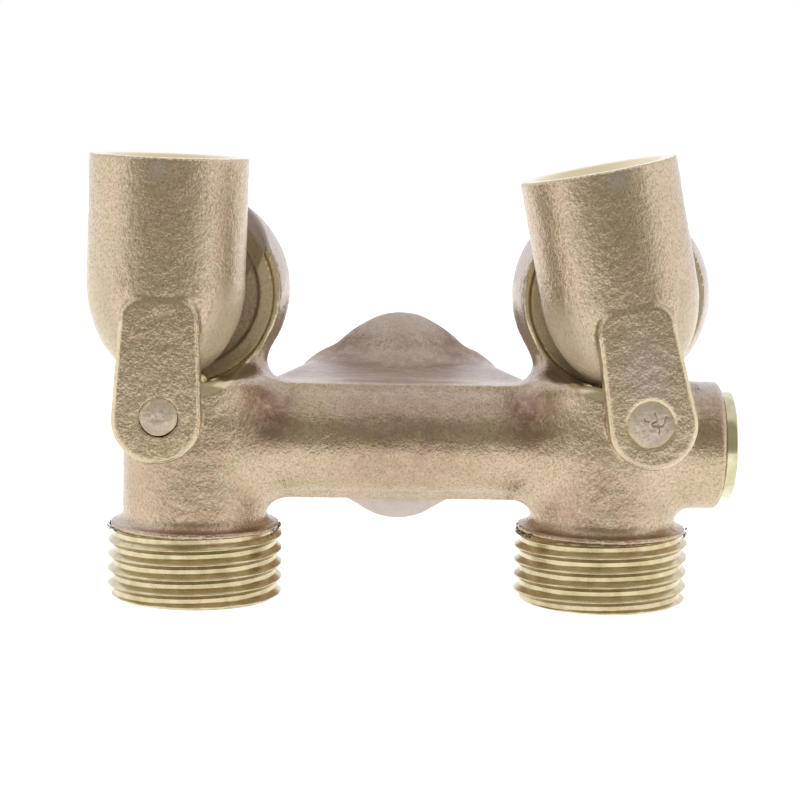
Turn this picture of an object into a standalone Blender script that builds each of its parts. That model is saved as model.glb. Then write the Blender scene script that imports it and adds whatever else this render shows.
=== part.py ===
"""Cast brass hose splitter: one threaded inlet and two hose outlets, each shut off by a lever.

Lengths are in metres. In the casting's own frame x = 0 lies midway between the outlets, y = 0 in
the plane of the outlet axes and z = 0 at the outlet ends. The front, with the lever arms, faces -Y.
An empty then moves the whole assembly so that the origin is under the middle of its box.
"""

import math

import bmesh
import bpy
from mathutils import Matrix, Vector

# Fits, and how finely round shapes are divided
SEAT_GAP = 0.0003
LEVER_CLEARANCE = 0.0004
CASTING_STEPS = 24
SMALL_STEPS = 16
HOLE_STEPS = 10
SEAL_SECTION_STEPS = 8
DOME_STEPS = 5
RIM_STEPS = 3
ARC_STEPS = 4

# Outlets: hose thread, burr collar and neck
OUTLET_SPACING = 0.0620
THREAD_DIAMETER = 0.0270
THREAD_DEPTH = 0.00135
THREAD_PITCH = 0.002209
THREAD_CREST_FLAT = 0.0003
THREAD_FLANK = math.radians(30)
THREAD_RIDGES = 4
FIRST_CREST_HEIGHT = 0.0019
COLLAR_HEIGHT = 0.0105
COLLAR_DIAMETER = 0.0258
COLLAR_EDGE = 0.0005
NECK_DIAMETER = 0.0219
NECK_FLARE = 0.0018

# Crosspipe between the necks, and the stub that goes on past the right-hand neck
CROSSPIPE_DIAMETER = 0.0161
CROSSPIPE_HEIGHT = 0.0241
CROSSPIPE_FILLET = 0.0040
CROSSPIPE_SWELL = 0.0014
CROSSPIPE_BORE = 0.0078
STUB_DIAMETER = 0.0195
STUB_LENGTH = 0.0174
STUB_ROUNDING = 0.0010

# Plug in the stub, with its washer
PLUG_SHANK_DIAMETER = 0.0124
PLUG_SHANK_LENGTH = 0.0085
PLUG_HEAD_DIAMETER = 0.0163
PLUG_HEAD_LENGTH = 0.00155
PLUG_EDGE = 0.0003
PLUG_SOCKET_FLATS = 0.0060
PLUG_SOCKET_DEPTH = 0.0050
PLUG_SEAL_DIAMETER = 0.0149
PLUG_SEAL_THICKNESS = 0.0006
PLUG_SEAL_SINK = 0.00085

# Hexagonal hub behind the crosspipe, a block that ties it to the necks, and the female inlet thread
HUB_OFFSET = 0.0008
HUB_FLATS = 0.0310
HUB_CORNER_RADIUS = 0.0080
HUB_FRONT = 0.0260
HUB_REAR = 0.0380
TIE_HEIGHT = 0.0172
TIE_FRONT = 0.0040
TIE_FRONT_WIDTH = 0.0490
TIE_REAR = 0.0264
TIE_REAR_WIDTH = 0.0326
TIE_EDGE = 0.0040
INLET_BORE = 0.0244
INLET_THREAD_DEPTH = 0.0009
INLET_RIDGES = 3
INLET_LEAD = 0.0016
INLET_DEPTH = 0.0110
INLET_PASSAGE = 0.0110
INLET_WASHER_BORE = 0.0130
INLET_WASHER_THICKNESS = 0.0020

# Levers: pin, arm, ball end and socket; tilts are inboard from upright
PIN_OFFSET = 0.00484
PIN_RISE = 0.0052
ARM_FRONT = 0.01615
ARM_WIDTH = 0.0138
ARM_THICKNESS = 0.0032
ARM_TOP = 0.0171
ARM_SHOULDER = 0.0022
ARM_EDGE = 0.0005
CUP_DIAMETER = 0.0235
CUP_SETBACK = 0.0044
CUP_TOP = 0.03744
BALL_RISE = 0.0156
SOCKET_DIAMETER = 0.0160
SOCKET_DEPTH = 0.0170
SOCKET_EDGE = 0.0005
LEFT_TILT = math.radians(1.1)
RIGHT_TILT = math.radians(11.6)
OPEN_TILT = math.radians(15.0)
SWEEP_COPIES = 4

# Hinge pins, riveted into a countersink in each arm
PIN_DIAMETER = 0.0050
PIN_HEAD_DIAMETER = 0.0064
PIN_HEAD_SINK = 0.0008
PIN_HEAD_CROWN = 0.0006
PIN_DEPTH = 0.0058
PIN_PAD_DIAMETER = 0.0124

# Hoods behind the levers: a dome with a turned recess in its front
HOOD_OFFSET = 0.0014
HOOD_RISE = 0.0013
HOOD_DIAMETER = 0.0306
HOOD_WIDEST = 0.0080
HOOD_DOME = 0.0090
HOOD_RIM_FACE = 0.0040
HOOD_RIM_WIDTH = 0.0003
RECESS_DIAMETER = 0.0270
RECESS_TAPER = 0.0016

# Valves in the outlets
OUTLET_BORE = 0.0172
SEAT_HEIGHT = 0.0160
SEAT_THICKNESS = 0.0020
SEAT_ORIFICE = 0.0096
CHAMBER_DIAMETER = 0.0112
STEM_DIAMETER = 0.0040
STEM_HEAD_DIAMETER = 0.0136
STEM_HEAD_THICKNESS = 0.0016
STEM_SPIGOT_DIAMETER = 0.0050
STEM_SPIGOT_LENGTH = 0.0022
SEAT_WASHER_THICKNESS = 0.0016
STEM_SEAL_WIRE = 0.0014
GLAND_SETBACK = 0.0004
GLAND_BUSH_LENGTH = 0.0012
SPRING_COIL_DIAMETER = 0.0092
SPRING_WIRE = 0.0010
SPRING_TURNS = 3
SPRING_POINTS_PER_TURN = 10
SPRING_PLATE_HEIGHT = 0.0035
SPRING_PLATE_THICKNESS = 0.0014
SPRING_PLATE_EYE = 0.0068
SPRING_PLATE_HOLES = 6
SPRING_PLATE_HOLE = 0.0024
RING_THICKNESS = 0.0010
RING_GROOVE_DEPTH = 0.0008
RING_WIDTH = 0.0018
RING_OPENING = math.radians(50)

# Heights and places that follow from the sizes above
CUP_RADIUS = CUP_DIAMETER / 2
NECK_RADIUS = NECK_DIAMETER / 2
PIN_HEIGHT = CROSSPIPE_HEIGHT + PIN_RISE
BALL_HEIGHT = PIN_HEIGHT + BALL_RISE
POCKET_FLOOR = BALL_HEIGHT - CUP_RADIUS - LEVER_CLEARANCE
NECK_TOP = BALL_HEIGHT - CUP_RADIUS / 2
HOOD_HEIGHT = BALL_HEIGHT + HOOD_RISE
ARM_BACK = -ARM_FRONT + ARM_THICKNESS
PAD_FACE = ARM_BACK + SEAT_GAP
STUB_END = OUTLET_SPACING / 2 + STUB_LENGTH
PLUG_SEAL_FLOOR = STUB_END - PLUG_SEAL_SINK
PLUG_SEAL_FACE = PLUG_SEAL_FLOOR + SEAT_GAP
PLUG_HEAD_FACE = PLUG_SEAL_FACE + PLUG_SEAL_THICKNESS + SEAT_GAP
PLUG_END = PLUG_HEAD_FACE + PLUG_HEAD_LENGTH
INLET_FLOOR = HUB_REAR - INLET_DEPTH
GLAND_TOP = POCKET_FLOOR - GLAND_SETBACK
GLAND_BUSH_BASE = GLAND_TOP - GLAND_BUSH_LENGTH
STEM_SEAL_HEIGHT = GLAND_BUSH_BASE - SEAT_GAP - STEM_SEAL_WIRE / 2
GLAND_FLOOR = STEM_SEAL_HEIGHT - STEM_SEAL_WIRE / 2 - SEAT_GAP
GLAND_RADIUS = STEM_DIAMETER / 2 + STEM_SEAL_WIRE + 2 * SEAT_GAP
CHAMBER_TOP = CROSSPIPE_HEIGHT + CROSSPIPE_BORE / 2 + SEAT_GAP
SEAT_WASHER_TOP = SEAT_HEIGHT - SEAT_GAP
STEM_HEAD_TOP = SEAT_WASHER_TOP - SEAT_WASHER_THICKNESS - SEAT_GAP
STEM_HEAD_BASE = STEM_HEAD_TOP - STEM_HEAD_THICKNESS
SPRING_BASE = SPRING_PLATE_HEIGHT + SPRING_PLATE_THICKNESS + SEAT_GAP
RING_TOP = SPRING_PLATE_HEIGHT - SEAT_GAP
RING_BASE = RING_TOP - RING_THICKNESS

# Middle of the assembly's box, seen from above
LEFT_END = -OUTLET_SPACING / 2 - HOOD_OFFSET - HOOD_DIAMETER / 2
FRONT_END = -ARM_FRONT - PIN_HEAD_CROWN
CENTRE_X = (LEFT_END + PLUG_END) / 2
CENTRE_Y = (FRONT_END + HUB_REAR) / 2

# Turns that lay an axis of +Z along +X or +Y
ALONG_X = (0.0, math.pi / 2, 0.0)
ALONG_Y = (-math.pi / 2, 0.0, 0.0)
SIDES = (("left", -1, LEFT_TILT), ("right", 1, RIGHT_TILT))


def clear_scene():
    for old in list(bpy.data.objects):
        bpy.data.objects.remove(old, do_unlink=True)


def new_collection(name, parent):
    collection = bpy.data.collections.new(name)
    parent.children.link(collection)
    return collection


def finish_of(name, colour, roughness, metallic):
    material = bpy.data.materials.new(name)
    material.use_nodes = True
    shader = material.node_tree.nodes["Principled BSDF"]
    shader.inputs["Base Color"].default_value = (*colour, 1.0)
    shader.inputs["Roughness"].default_value = roughness
    shader.inputs["Metallic"].default_value = metallic
    return material


clear_scene()
PARTS = new_collection("hose_splitter", bpy.context.scene.collection)
CUTTERS = new_collection("hose_splitter_cutters", bpy.context.scene.collection)
CAST_SOLIDS = new_collection("cast_solids", CUTTERS)
CAST_HOLLOWS = new_collection("cast_hollows", CUTTERS)
ASSEMBLY = bpy.data.objects.new("assembly", None)
ASSEMBLY.location = (-CENTRE_X, -CENTRE_Y, 0.0)
PARTS.objects.link(ASSEMBLY)

CAST_BRASS = finish_of("cast_brass", (0.36, 0.27, 0.16), 0.55, 1.0)
TURNED_BRASS = finish_of("turned_brass", (0.72, 0.56, 0.25), 0.25, 1.0)
STEEL = finish_of("stainless_steel", (0.56, 0.57, 0.58), 0.30, 1.0)
RUBBER = finish_of("black_rubber", (0.02, 0.02, 0.02), 0.70, 0.0)


def place(mesh, name, collection, location=(0, 0, 0), rotation=(0, 0, 0)):
    """A mesh as an object of the assembly."""
    placed = bpy.data.objects.new(name, mesh)
    placed.location = location
    placed.rotation_euler = rotation
    placed.parent = ASSEMBLY
    collection.objects.link(placed)
    if collection is not PARTS:
        placed.hide_render = True
        placed.display_type = "WIRE"
    return placed


def turned(name, profile, collection, location=(0, 0, 0), rotation=(0, 0, 0), steps=CASTING_STEPS):
    """A solid of revolution about its own Z, from (radius, height) points down its outer side."""
    mesh = bpy.data.meshes.new(name)
    points = [(radius, 0.0, height) for radius, height in profile]
    mesh.from_pydata(points, [(i, i + 1) for i in range(len(points) - 1)], [])
    solid = place(mesh, name, collection, location, rotation)
    screw = solid.modifiers.new("Turn", "SCREW")
    screw.steps = steps
    screw.render_steps = steps
    screw.use_merge_vertices = True
    screw.merge_threshold = 1e-6
    return solid


def rod(radius, top, base):
    """Profile of a plain round bar."""
    return [(0.0, top), (radius, top), (radius, base), (0.0, base)]


def tube(outer, inner, top, base):
    """Closed profile of a plain round tube."""
    return [(inner, top), (outer, top), (outer, base), (inner, base), (inner, top)]


def arc(centre, radius, start, end, steps=ARC_STEPS):
    """Points on an arc, with angles in degrees counted from +X towards +Y of the outline."""
    turn = [math.radians(start + (end - start) * i / steps) for i in range(steps + 1)]
    return [(centre[0] + radius * math.cos(a), centre[1] + radius * math.sin(a)) for a in turn]


def concave_flare(small, large, start, end, steps=ARC_STEPS):
    """(radius, height) points that widen from small to large, flat at start and steep at end."""
    rise = large - small
    run = end - start
    bend = (rise ** 2 + run ** 2) / (2 * rise)
    along = [run * i / steps for i in range(steps + 1)]
    return [(small + bend - math.sqrt(bend ** 2 - step ** 2), start + step) for step in along]


def plate(name, outline, thickness, collection, edge=0.0, location=(0, 0, 0), rotation=(0, 0, 0)):
    """A flat outline of one or more loops, thickened about z = 0, as a closed mesh."""
    curve = bpy.data.curves.new(name, "CURVE")
    curve.dimensions = "2D"
    curve.fill_mode = "BOTH"
    curve.extrude = thickness / 2 - edge
    curve.bevel_depth = edge
    curve.bevel_resolution = 0
    curve.offset = -edge
    for loop in outline:
        spline = curve.splines.new("POLY")
        spline.points.add(len(loop) - 1)
        for point, (x, y) in zip(spline.points, loop):
            point.co = (x, y, 0.0, 1.0)
        spline.use_cyclic_u = True
    return place(mesh_of_curve(curve, name), name, collection, location, rotation)


def mesh_of_curve(curve, name):
    """The curve's solid as a mesh with its caps welded on."""
    guide = bpy.data.objects.new(name + "_guide", curve)
    bpy.context.scene.collection.objects.link(guide)
    graph = bpy.context.evaluated_depsgraph_get()
    mesh = bpy.data.meshes.new_from_object(guide.evaluated_get(graph))
    bpy.data.objects.remove(guide, do_unlink=True)
    welded = bmesh.new()
    welded.from_mesh(mesh)
    bmesh.ops.remove_doubles(welded, verts=welded.verts, dist=1e-6)
    bmesh.ops.recalc_face_normals(welded, faces=welded.faces)
    welded.to_mesh(mesh)
    welded.free()
    return mesh


def combine(target, other, operation):
    """Join another solid to the target, or cut it out, or do so with a whole collection at once."""
    boolean = target.modifiers.new(other.name, "BOOLEAN")
    boolean.operation = operation
    boolean.solver = "EXACT"
    if isinstance(other, bpy.types.Collection):
        boolean.operand_type = "COLLECTION"
        boolean.collection = other
    else:
        boolean.object = other


def seal_up(part, material, smooth_angle=35):
    """Give the part its finished mesh, smooth shading and material."""
    graph = bpy.context.evaluated_depsgraph_get()
    mesh = bpy.data.meshes.new_from_object(part.evaluated_get(graph))
    part.modifiers.clear()
    part.data = mesh
    mesh.name = part.name
    mesh.materials.clear()
    mesh.materials.append(material)
    mesh.shade_smooth()
    mesh.set_sharp_from_angle(angle=math.radians(smooth_angle))


def ridges(root, crest, pitch, crest_flat, first, count):
    """(radius, height) points of thread ridges, from the highest down to the first."""
    flank = (crest - root) * math.tan(THREAD_FLANK)
    points = []
    for i in reversed(range(count)):
        middle = first + i * pitch
        points.append((root, middle + crest_flat / 2 + flank))
        points.append((crest, middle + crest_flat / 2))
        points.append((crest, middle - crest_flat / 2))
        points.append((root, middle - crest_flat / 2 - flank))
    return points


def outlet_x(side):
    return side * OUTLET_SPACING / 2


def pin_x(side):
    return side * (OUTLET_SPACING / 2 + PIN_OFFSET)


def stem_tip_height(tilt):
    """Top of a stem that keeps the seat gap to the lever's ball end at a tilt."""
    reach = CUP_RADIUS + STEM_DIAMETER / 2 + SEAT_GAP
    sideways = BALL_RISE * math.sin(tilt) - PIN_OFFSET
    drop = math.sqrt(reach ** 2 - sideways ** 2 - CUP_SETBACK ** 2)
    return PIN_HEIGHT + BALL_RISE * math.cos(tilt) - drop + STEM_DIAMETER / 2


STEM_TIP_SHUT = stem_tip_height(0.0)
STEM_TRAVEL = STEM_TIP_SHUT - stem_tip_height(OPEN_TILT)


def stem_drop(tilt):
    return STEM_TRAVEL * tilt / OPEN_TILT


# Outside of the casting

def neck(name, side):
    """Outlet neck: hose thread below a burr collar, then the plain neck up into the hood."""
    crest = THREAD_DIAMETER / 2
    root = crest - THREAD_DEPTH
    collar = COLLAR_DIAMETER / 2
    collar_top = COLLAR_HEIGHT + COLLAR_EDGE
    flare = concave_flare(NECK_RADIUS, collar, -collar_top - NECK_FLARE, -collar_top)
    profile = [(0.0, NECK_TOP), (NECK_RADIUS, NECK_TOP)]
    profile += [(radius, -height) for radius, height in flare]
    profile += [(collar, COLLAR_HEIGHT), (root, COLLAR_HEIGHT - COLLAR_EDGE)]
    profile += ridges(root, crest, THREAD_PITCH, THREAD_CREST_FLAT, FIRST_CREST_HEIGHT, THREAD_RIDGES)
    profile += [(root, 0.0), (0.0, 0.0)]
    turned(name, profile, CAST_SOLIDS, (outlet_x(side), 0, 0))


def crosspipe():
    """Round pipe that swells towards each neck."""
    radius = CROSSPIPE_DIAMETER / 2
    swell = radius + CROSSPIPE_SWELL
    neck_face = OUTLET_SPACING / 2 - NECK_RADIUS
    inside_neck = neck_face + CROSSPIPE_SWELL
    fillet = concave_flare(radius, swell, neck_face - CROSSPIPE_FILLET, inside_neck)
    half = [(0.0, OUTLET_SPACING / 2), (swell, OUTLET_SPACING / 2)] + fillet[::-1]
    other_half = [(r, -x) for r, x in reversed(half)]
    return turned("manifold_body", half + other_half, PARTS, (0, 0, CROSSPIPE_HEIGHT), ALONG_X)


def stub():
    """Short closed-off end of the crosspipe, beyond the right-hand neck."""
    radius = STUB_DIAMETER / 2
    corner = (radius - STUB_ROUNDING, STUB_END - STUB_ROUNDING)
    rounding = arc(corner, STUB_ROUNDING, 90, 0)
    profile = [(0.0, STUB_END)] + rounding
    profile += [(radius, OUTLET_SPACING / 2), (0.0, OUTLET_SPACING / 2)]
    turned("stub", profile, CAST_SOLIDS, (0, 0, CROSSPIPE_HEIGHT), ALONG_X)


def hub():
    """Hexagonal inlet boss with round corners, one corner up, and the block that ties it to the necks."""
    apothem = HUB_FLATS / 2
    corner_reach = (apothem - HUB_CORNER_RADIUS) / math.cos(math.radians(30))
    outline = []
    for corner in range(6):
        heading = 30 + 60 * corner
        centre = Matrix.Rotation(math.radians(heading), 2) @ Vector((corner_reach, 0.0))
        outline += arc(centre, HUB_CORNER_RADIUS, heading - 30, heading + 30)
    middle = (HUB_OFFSET, (HUB_FRONT + HUB_REAR) / 2, CROSSPIPE_HEIGHT)
    plate("hub_hexagon", [outline], HUB_REAR - HUB_FRONT, CAST_SOLIDS, 0.0, middle, ALONG_Y)
    tie = [(-TIE_FRONT_WIDTH / 2, TIE_FRONT), (TIE_FRONT_WIDTH / 2, TIE_FRONT)]
    tie += [(HUB_OFFSET + TIE_REAR_WIDTH / 2, TIE_REAR), (HUB_OFFSET - TIE_REAR_WIDTH / 2, TIE_REAR)]
    plate("hub_tie", [tie], TIE_HEIGHT, CAST_SOLIDS, TIE_EDGE, (0, 0, CROSSPIPE_HEIGHT))


def hood(name, side):
    """Round boss behind a lever: widest a little behind its rim, domed to the rear."""
    radius = HOOD_DIAMETER / 2
    rim = RECESS_DIAMETER / 2 + HOOD_RIM_WIDTH
    dome_turn = [math.pi / 2 * i / DOME_STEPS for i in range(DOME_STEPS + 1)]
    rim_turn = [math.pi / 2 * i / RIM_STEPS for i in reversed(range(RIM_STEPS))]
    dome = [(radius * math.sin(a), HOOD_WIDEST + HOOD_DOME * math.cos(a)) for a in dome_turn]
    front = [(rim + (radius - rim) * math.sin(a), HOOD_WIDEST - (HOOD_WIDEST - HOOD_RIM_FACE) * math.cos(a))
             for a in rim_turn]
    profile = dome + front + [(0.0, HOOD_RIM_FACE)]
    centre = (outlet_x(side) + side * HOOD_OFFSET, 0, HOOD_HEIGHT)
    turned(name, profile, CAST_SOLIDS, centre, ALONG_Y)


def pin_pad(name, side):
    """Flat round pad on the front of a neck, which the lever's arm lies against."""
    profile = rod(PIN_PAD_DIAMETER / 2, 0.0, PAD_FACE)
    turned(name, profile, CAST_SOLIDS, (pin_x(side), 0, PIN_HEIGHT), ALONG_Y)


# Hollows of the casting

def recess(name, side):
    """Turned recess in the front of a hood, tapering to its floor."""
    radius = RECESS_DIAMETER / 2
    mouth = -ARM_FRONT
    floor = HOOD_RIM_FACE + RECESS_TAPER
    profile = [(0.0, floor), (radius - RECESS_TAPER, floor), (radius, HOOD_RIM_FACE)]
    profile += [(radius, mouth), (0.0, mouth)]
    centre = (outlet_x(side) + side * HOOD_OFFSET, 0, HOOD_HEIGHT)
    turned(name, profile, CAST_HOLLOWS, centre, ALONG_Y)


def cup_outline(radius):
    """(radius, height) points down a lever's cup and round its ball end, from the pin's height."""
    ball = arc((0.0, BALL_RISE), radius, 0, -90, 2 * ARC_STEPS)
    return [(0.0, CUP_TOP), (radius, CUP_TOP)] + ball[:-1] + [(0.0, BALL_RISE - radius)]


def lever_turn(side, tilt):
    """Rotation of a lever on its pin, leaning inboard by the tilt."""
    return (0.0, -side * tilt, 0.0)


def lever_sweep(name, side):
    """The space that a lever's cup passes through, as copies along its swing."""
    outline = cup_outline(CUP_RADIUS + LEVER_CLEARANCE)
    pivot = (pin_x(side), -CUP_SETBACK, PIN_HEIGHT)
    for i in range(SWEEP_COPIES):
        turn = lever_turn(side, OPEN_TILT * i / (SWEEP_COPIES - 1))
        turned(f"{name}_{i}", outline, CAST_HOLLOWS, pivot, turn)


def valve_bores(name, side):
    """Bores up an outlet: mouth, ring groove, seat, chamber, stem hole and gland."""
    bore = OUTLET_BORE / 2
    groove = bore + RING_GROOVE_DEPTH
    stem_hole = STEM_DIAMETER / 2 + SEAT_GAP
    seat_top = SEAT_HEIGHT + SEAT_THICKNESS
    above = BALL_HEIGHT
    below = -OUTLET_BORE / 2
    profile = [(0.0, above), (GLAND_RADIUS, above), (GLAND_RADIUS, GLAND_FLOOR)]
    profile += [(stem_hole, GLAND_FLOOR), (stem_hole, CHAMBER_TOP)]
    profile += [(CHAMBER_DIAMETER / 2, CHAMBER_TOP), (CHAMBER_DIAMETER / 2, seat_top)]
    profile += [(SEAT_ORIFICE / 2, seat_top), (SEAT_ORIFICE / 2, SEAT_HEIGHT), (bore, SEAT_HEIGHT)]
    profile += [(bore, RING_TOP + SEAT_GAP), (groove, RING_TOP + SEAT_GAP)]
    profile += [(groove, RING_BASE - SEAT_GAP), (bore, RING_BASE - SEAT_GAP), (bore, below), (0.0, below)]
    turned(name, profile, CAST_HOLLOWS, (outlet_x(side), 0, 0))


def pin_hole(name, side):
    """Blind hole for a hinge pin."""
    profile = rod(PIN_DIAMETER / 2 + SEAT_GAP, PAD_FACE + PIN_DEPTH + SEAT_GAP, -ARM_FRONT)
    turned(name, profile, CAST_HOLLOWS, (pin_x(side), 0, PIN_HEIGHT), ALONG_Y, SMALL_STEPS)


def crosspipe_bore():
    """Water way from one chamber to the other, and on into the hole for the plug."""
    radius = CROSSPIPE_BORE / 2
    plug_hole = PLUG_SHANK_DIAMETER / 2 + SEAT_GAP
    plug_floor = PLUG_HEAD_FACE - PLUG_SHANK_LENGTH - SEAT_GAP
    seal_hole = PLUG_SEAL_DIAMETER / 2 + SEAT_GAP
    profile = [(0.0, PLUG_END), (seal_hole, PLUG_END), (seal_hole, PLUG_SEAL_FLOOR)]
    profile += [(plug_hole, PLUG_SEAL_FLOOR), (plug_hole, plug_floor), (radius, plug_floor)]
    profile += [(radius, outlet_x(-1)), (0.0, outlet_x(-1))]
    turned("crosspipe_bore", profile, CAST_HOLLOWS, (0, 0, CROSSPIPE_HEIGHT), ALONG_X)


def inlet_bore():
    """Female inlet thread in the hub, and the passage from it to the crosspipe's bore."""
    root = INLET_BORE / 2
    first = HUB_REAR - INLET_LEAD - (INLET_RIDGES - 1) * THREAD_PITCH
    mouth = HUB_REAR + INLET_LEAD
    grooves = ridges(root, root + INLET_THREAD_DEPTH, THREAD_PITCH, THREAD_CREST_FLAT, first, INLET_RIDGES)
    profile = [(0.0, mouth), (root, mouth)] + grooves + [(root, INLET_FLOOR)]
    profile += [(INLET_PASSAGE / 2, INLET_FLOOR), (INLET_PASSAGE / 2, 0.0), (0.0, 0.0)]
    turned("inlet_bore", profile, CAST_HOLLOWS, (HUB_OFFSET, 0, CROSSPIPE_HEIGHT), ALONG_Y)


def manifold_body():
    """The casting: all its solids joined to the crosspipe, and then all its hollows cut out."""
    body = crosspipe()
    stub()
    hub()
    crosspipe_bore()
    inlet_bore()
    for label, side, _ in SIDES:
        neck(f"{label}_neck", side)
        hood(f"{label}_hood", side)
        pin_pad(f"{label}_pin_pad", side)
        recess(f"{label}_recess", side)
        valve_bores(f"{label}_bores", side)
        pin_hole(f"{label}_pin_hole", side)
        lever_sweep(f"{label}_sweep", side)
    combine(body, CAST_SOLIDS, "UNION")
    combine(body, CAST_HOLLOWS, "DIFFERENCE")
    seal_up(body, CAST_BRASS)


# Pieces fixed to the casting

def hexagon(flats):
    reach = flats / 2 / math.cos(math.radians(30))
    return [(reach * math.cos(a), reach * math.sin(a)) for a in (math.radians(60 * i) for i in range(6))]


def end_plug():
    """Turned plug with a hexagon socket."""
    head = PLUG_HEAD_DIAMETER / 2
    shank = PLUG_SHANK_DIAMETER / 2
    profile = [(0.0, PLUG_END), (head - PLUG_EDGE, PLUG_END), (head, PLUG_END - PLUG_EDGE)]
    profile += [(head, PLUG_HEAD_FACE), (shank, PLUG_HEAD_FACE)]
    profile += [(shank, PLUG_HEAD_FACE - PLUG_SHANK_LENGTH), (0.0, PLUG_HEAD_FACE - PLUG_SHANK_LENGTH)]
    plug = turned("end_plug", profile, PARTS, (0, 0, CROSSPIPE_HEIGHT), ALONG_X)
    socket = plate("plug_socket", [hexagon(PLUG_SOCKET_FLATS)], 2 * PLUG_SOCKET_DEPTH, CUTTERS, 0.0,
                   (PLUG_END, 0, CROSSPIPE_HEIGHT), ALONG_X)
    combine(plug, socket, "DIFFERENCE")
    seal_up(plug, TURNED_BRASS)


def plug_seal():
    bore = PLUG_SHANK_DIAMETER / 2 + SEAT_GAP
    profile = tube(PLUG_SEAL_DIAMETER / 2, bore, PLUG_SEAL_FACE + PLUG_SEAL_THICKNESS, PLUG_SEAL_FACE)
    seal = turned("plug_seal", profile, PARTS, (0, 0, CROSSPIPE_HEIGHT), ALONG_X)
    seal_up(seal, RUBBER)


def inlet_washer():
    """Flat hose washer at the bottom of the inlet."""
    base = INLET_FLOOR + SEAT_GAP
    outer = INLET_BORE / 2 - SEAT_GAP
    profile = tube(outer, INLET_WASHER_BORE / 2, base + INLET_WASHER_THICKNESS, base)
    washer = turned("inlet_washer", profile, PARTS, (HUB_OFFSET, 0, CROSSPIPE_HEIGHT), ALONG_Y)
    seal_up(washer, RUBBER)


def hinge_pin(label, side):
    """Rivet that a lever turns on, peened into the arm's countersink."""
    shank = PIN_DIAMETER / 2
    head = PIN_HEAD_DIAMETER / 2
    face = -ARM_FRONT
    crown_turn = [math.pi / 2 * i / RIM_STEPS for i in range(RIM_STEPS)]
    crown = [(head * math.cos(a), face - PIN_HEAD_CROWN * math.sin(a)) for a in crown_turn]
    profile = [(0.0, PAD_FACE + PIN_DEPTH), (shank, PAD_FACE + PIN_DEPTH), (shank, face + PIN_HEAD_SINK)]
    profile += crown + [(0.0, face - PIN_HEAD_CROWN)]
    pin = turned(f"{label}_hinge_pin", profile, PARTS, (pin_x(side), 0, PIN_HEIGHT), ALONG_Y, SMALL_STEPS)
    seal_up(pin, CAST_BRASS)


def gland_bush(label, side):
    bore = STEM_DIAMETER / 2 + SEAT_GAP
    profile = tube(GLAND_RADIUS - SEAT_GAP, bore, GLAND_TOP, GLAND_BUSH_BASE)
    bush = turned(f"{label}_gland_bush", profile, PARTS, (outlet_x(side), 0, 0), steps=SMALL_STEPS)
    seal_up(bush, TURNED_BRASS)


def stem_seal(label, side):
    """O-ring between the gland's floor and its bush."""
    wire = STEM_SEAL_WIRE / 2
    middle = (STEM_DIAMETER / 2 + SEAT_GAP + wire, STEM_SEAL_HEIGHT)
    section = arc(middle, wire, 180, -180, SEAL_SECTION_STEPS)
    section[-1] = section[0]
    seal = turned(f"{label}_stem_seal", section, PARTS, (outlet_x(side), 0, 0), steps=SMALL_STEPS)
    seal_up(seal, RUBBER)


def return_spring(label, side, tilt):
    """Coil between the spring plate and the stem's head; prints its least gap to itself."""
    wire = SPRING_WIRE / 2
    radius = SPRING_COIL_DIAMETER / 2
    low = SPRING_BASE + wire
    high = STEM_HEAD_BASE - stem_drop(tilt) - SEAT_GAP - wire
    count = SPRING_TURNS * SPRING_POINTS_PER_TURN
    curve = bpy.data.curves.new(f"{label}_return_spring", "CURVE")
    curve.dimensions = "3D"
    curve.bevel_depth = wire
    curve.bevel_resolution = 1
    curve.use_fill_caps = True
    spline = curve.splines.new("POLY")
    spline.points.add(count)
    path = []
    for i, point in enumerate(spline.points):
        turn = 2 * math.pi * i / SPRING_POINTS_PER_TURN
        spot = Vector((radius * math.cos(turn), radius * math.sin(turn), low + (high - low) * i / count))
        point.co = (*spot, 1.0)
        path.append(spot)
    far_apart = SPRING_POINTS_PER_TURN // 2
    least = min((path[i] - path[j]).length for i in range(count) for j in range(i + far_apart, count + 1))
    print(f"{label} return spring: least gap to itself {1000 * (least - SPRING_WIRE):.2f} mm")
    spring = place(mesh_of_curve(curve, curve.name), curve.name, PARTS, (outlet_x(side), 0, 0))
    seal_up(spring, STEEL)


def spring_plate(label, side):
    """Perforated disc that the spring stands on."""
    outer = OUTLET_BORE / 2 - SEAT_GAP
    hole_circle = (outer + SPRING_COIL_DIAMETER / 2 + SPRING_WIRE / 2) / 2
    loops = [arc((0.0, 0.0), outer, 0, 360, CASTING_STEPS)[:-1]]
    loops.append(arc((0.0, 0.0), SPRING_PLATE_EYE / 2, 0, 360, SMALL_STEPS)[:-1])
    for i in range(SPRING_PLATE_HOLES):
        heading = 2 * math.pi * i / SPRING_PLATE_HOLES
        centre = (hole_circle * math.cos(heading), hole_circle * math.sin(heading))
        loops.append(arc(centre, SPRING_PLATE_HOLE / 2, 0, 360, HOLE_STEPS)[:-1])
    middle = SPRING_PLATE_HEIGHT + SPRING_PLATE_THICKNESS / 2
    disc = plate(f"{label}_spring_plate", loops, SPRING_PLATE_THICKNESS, PARTS, 0.0,
                 (outlet_x(side), 0, middle))
    seal_up(disc, TURNED_BRASS)


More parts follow.
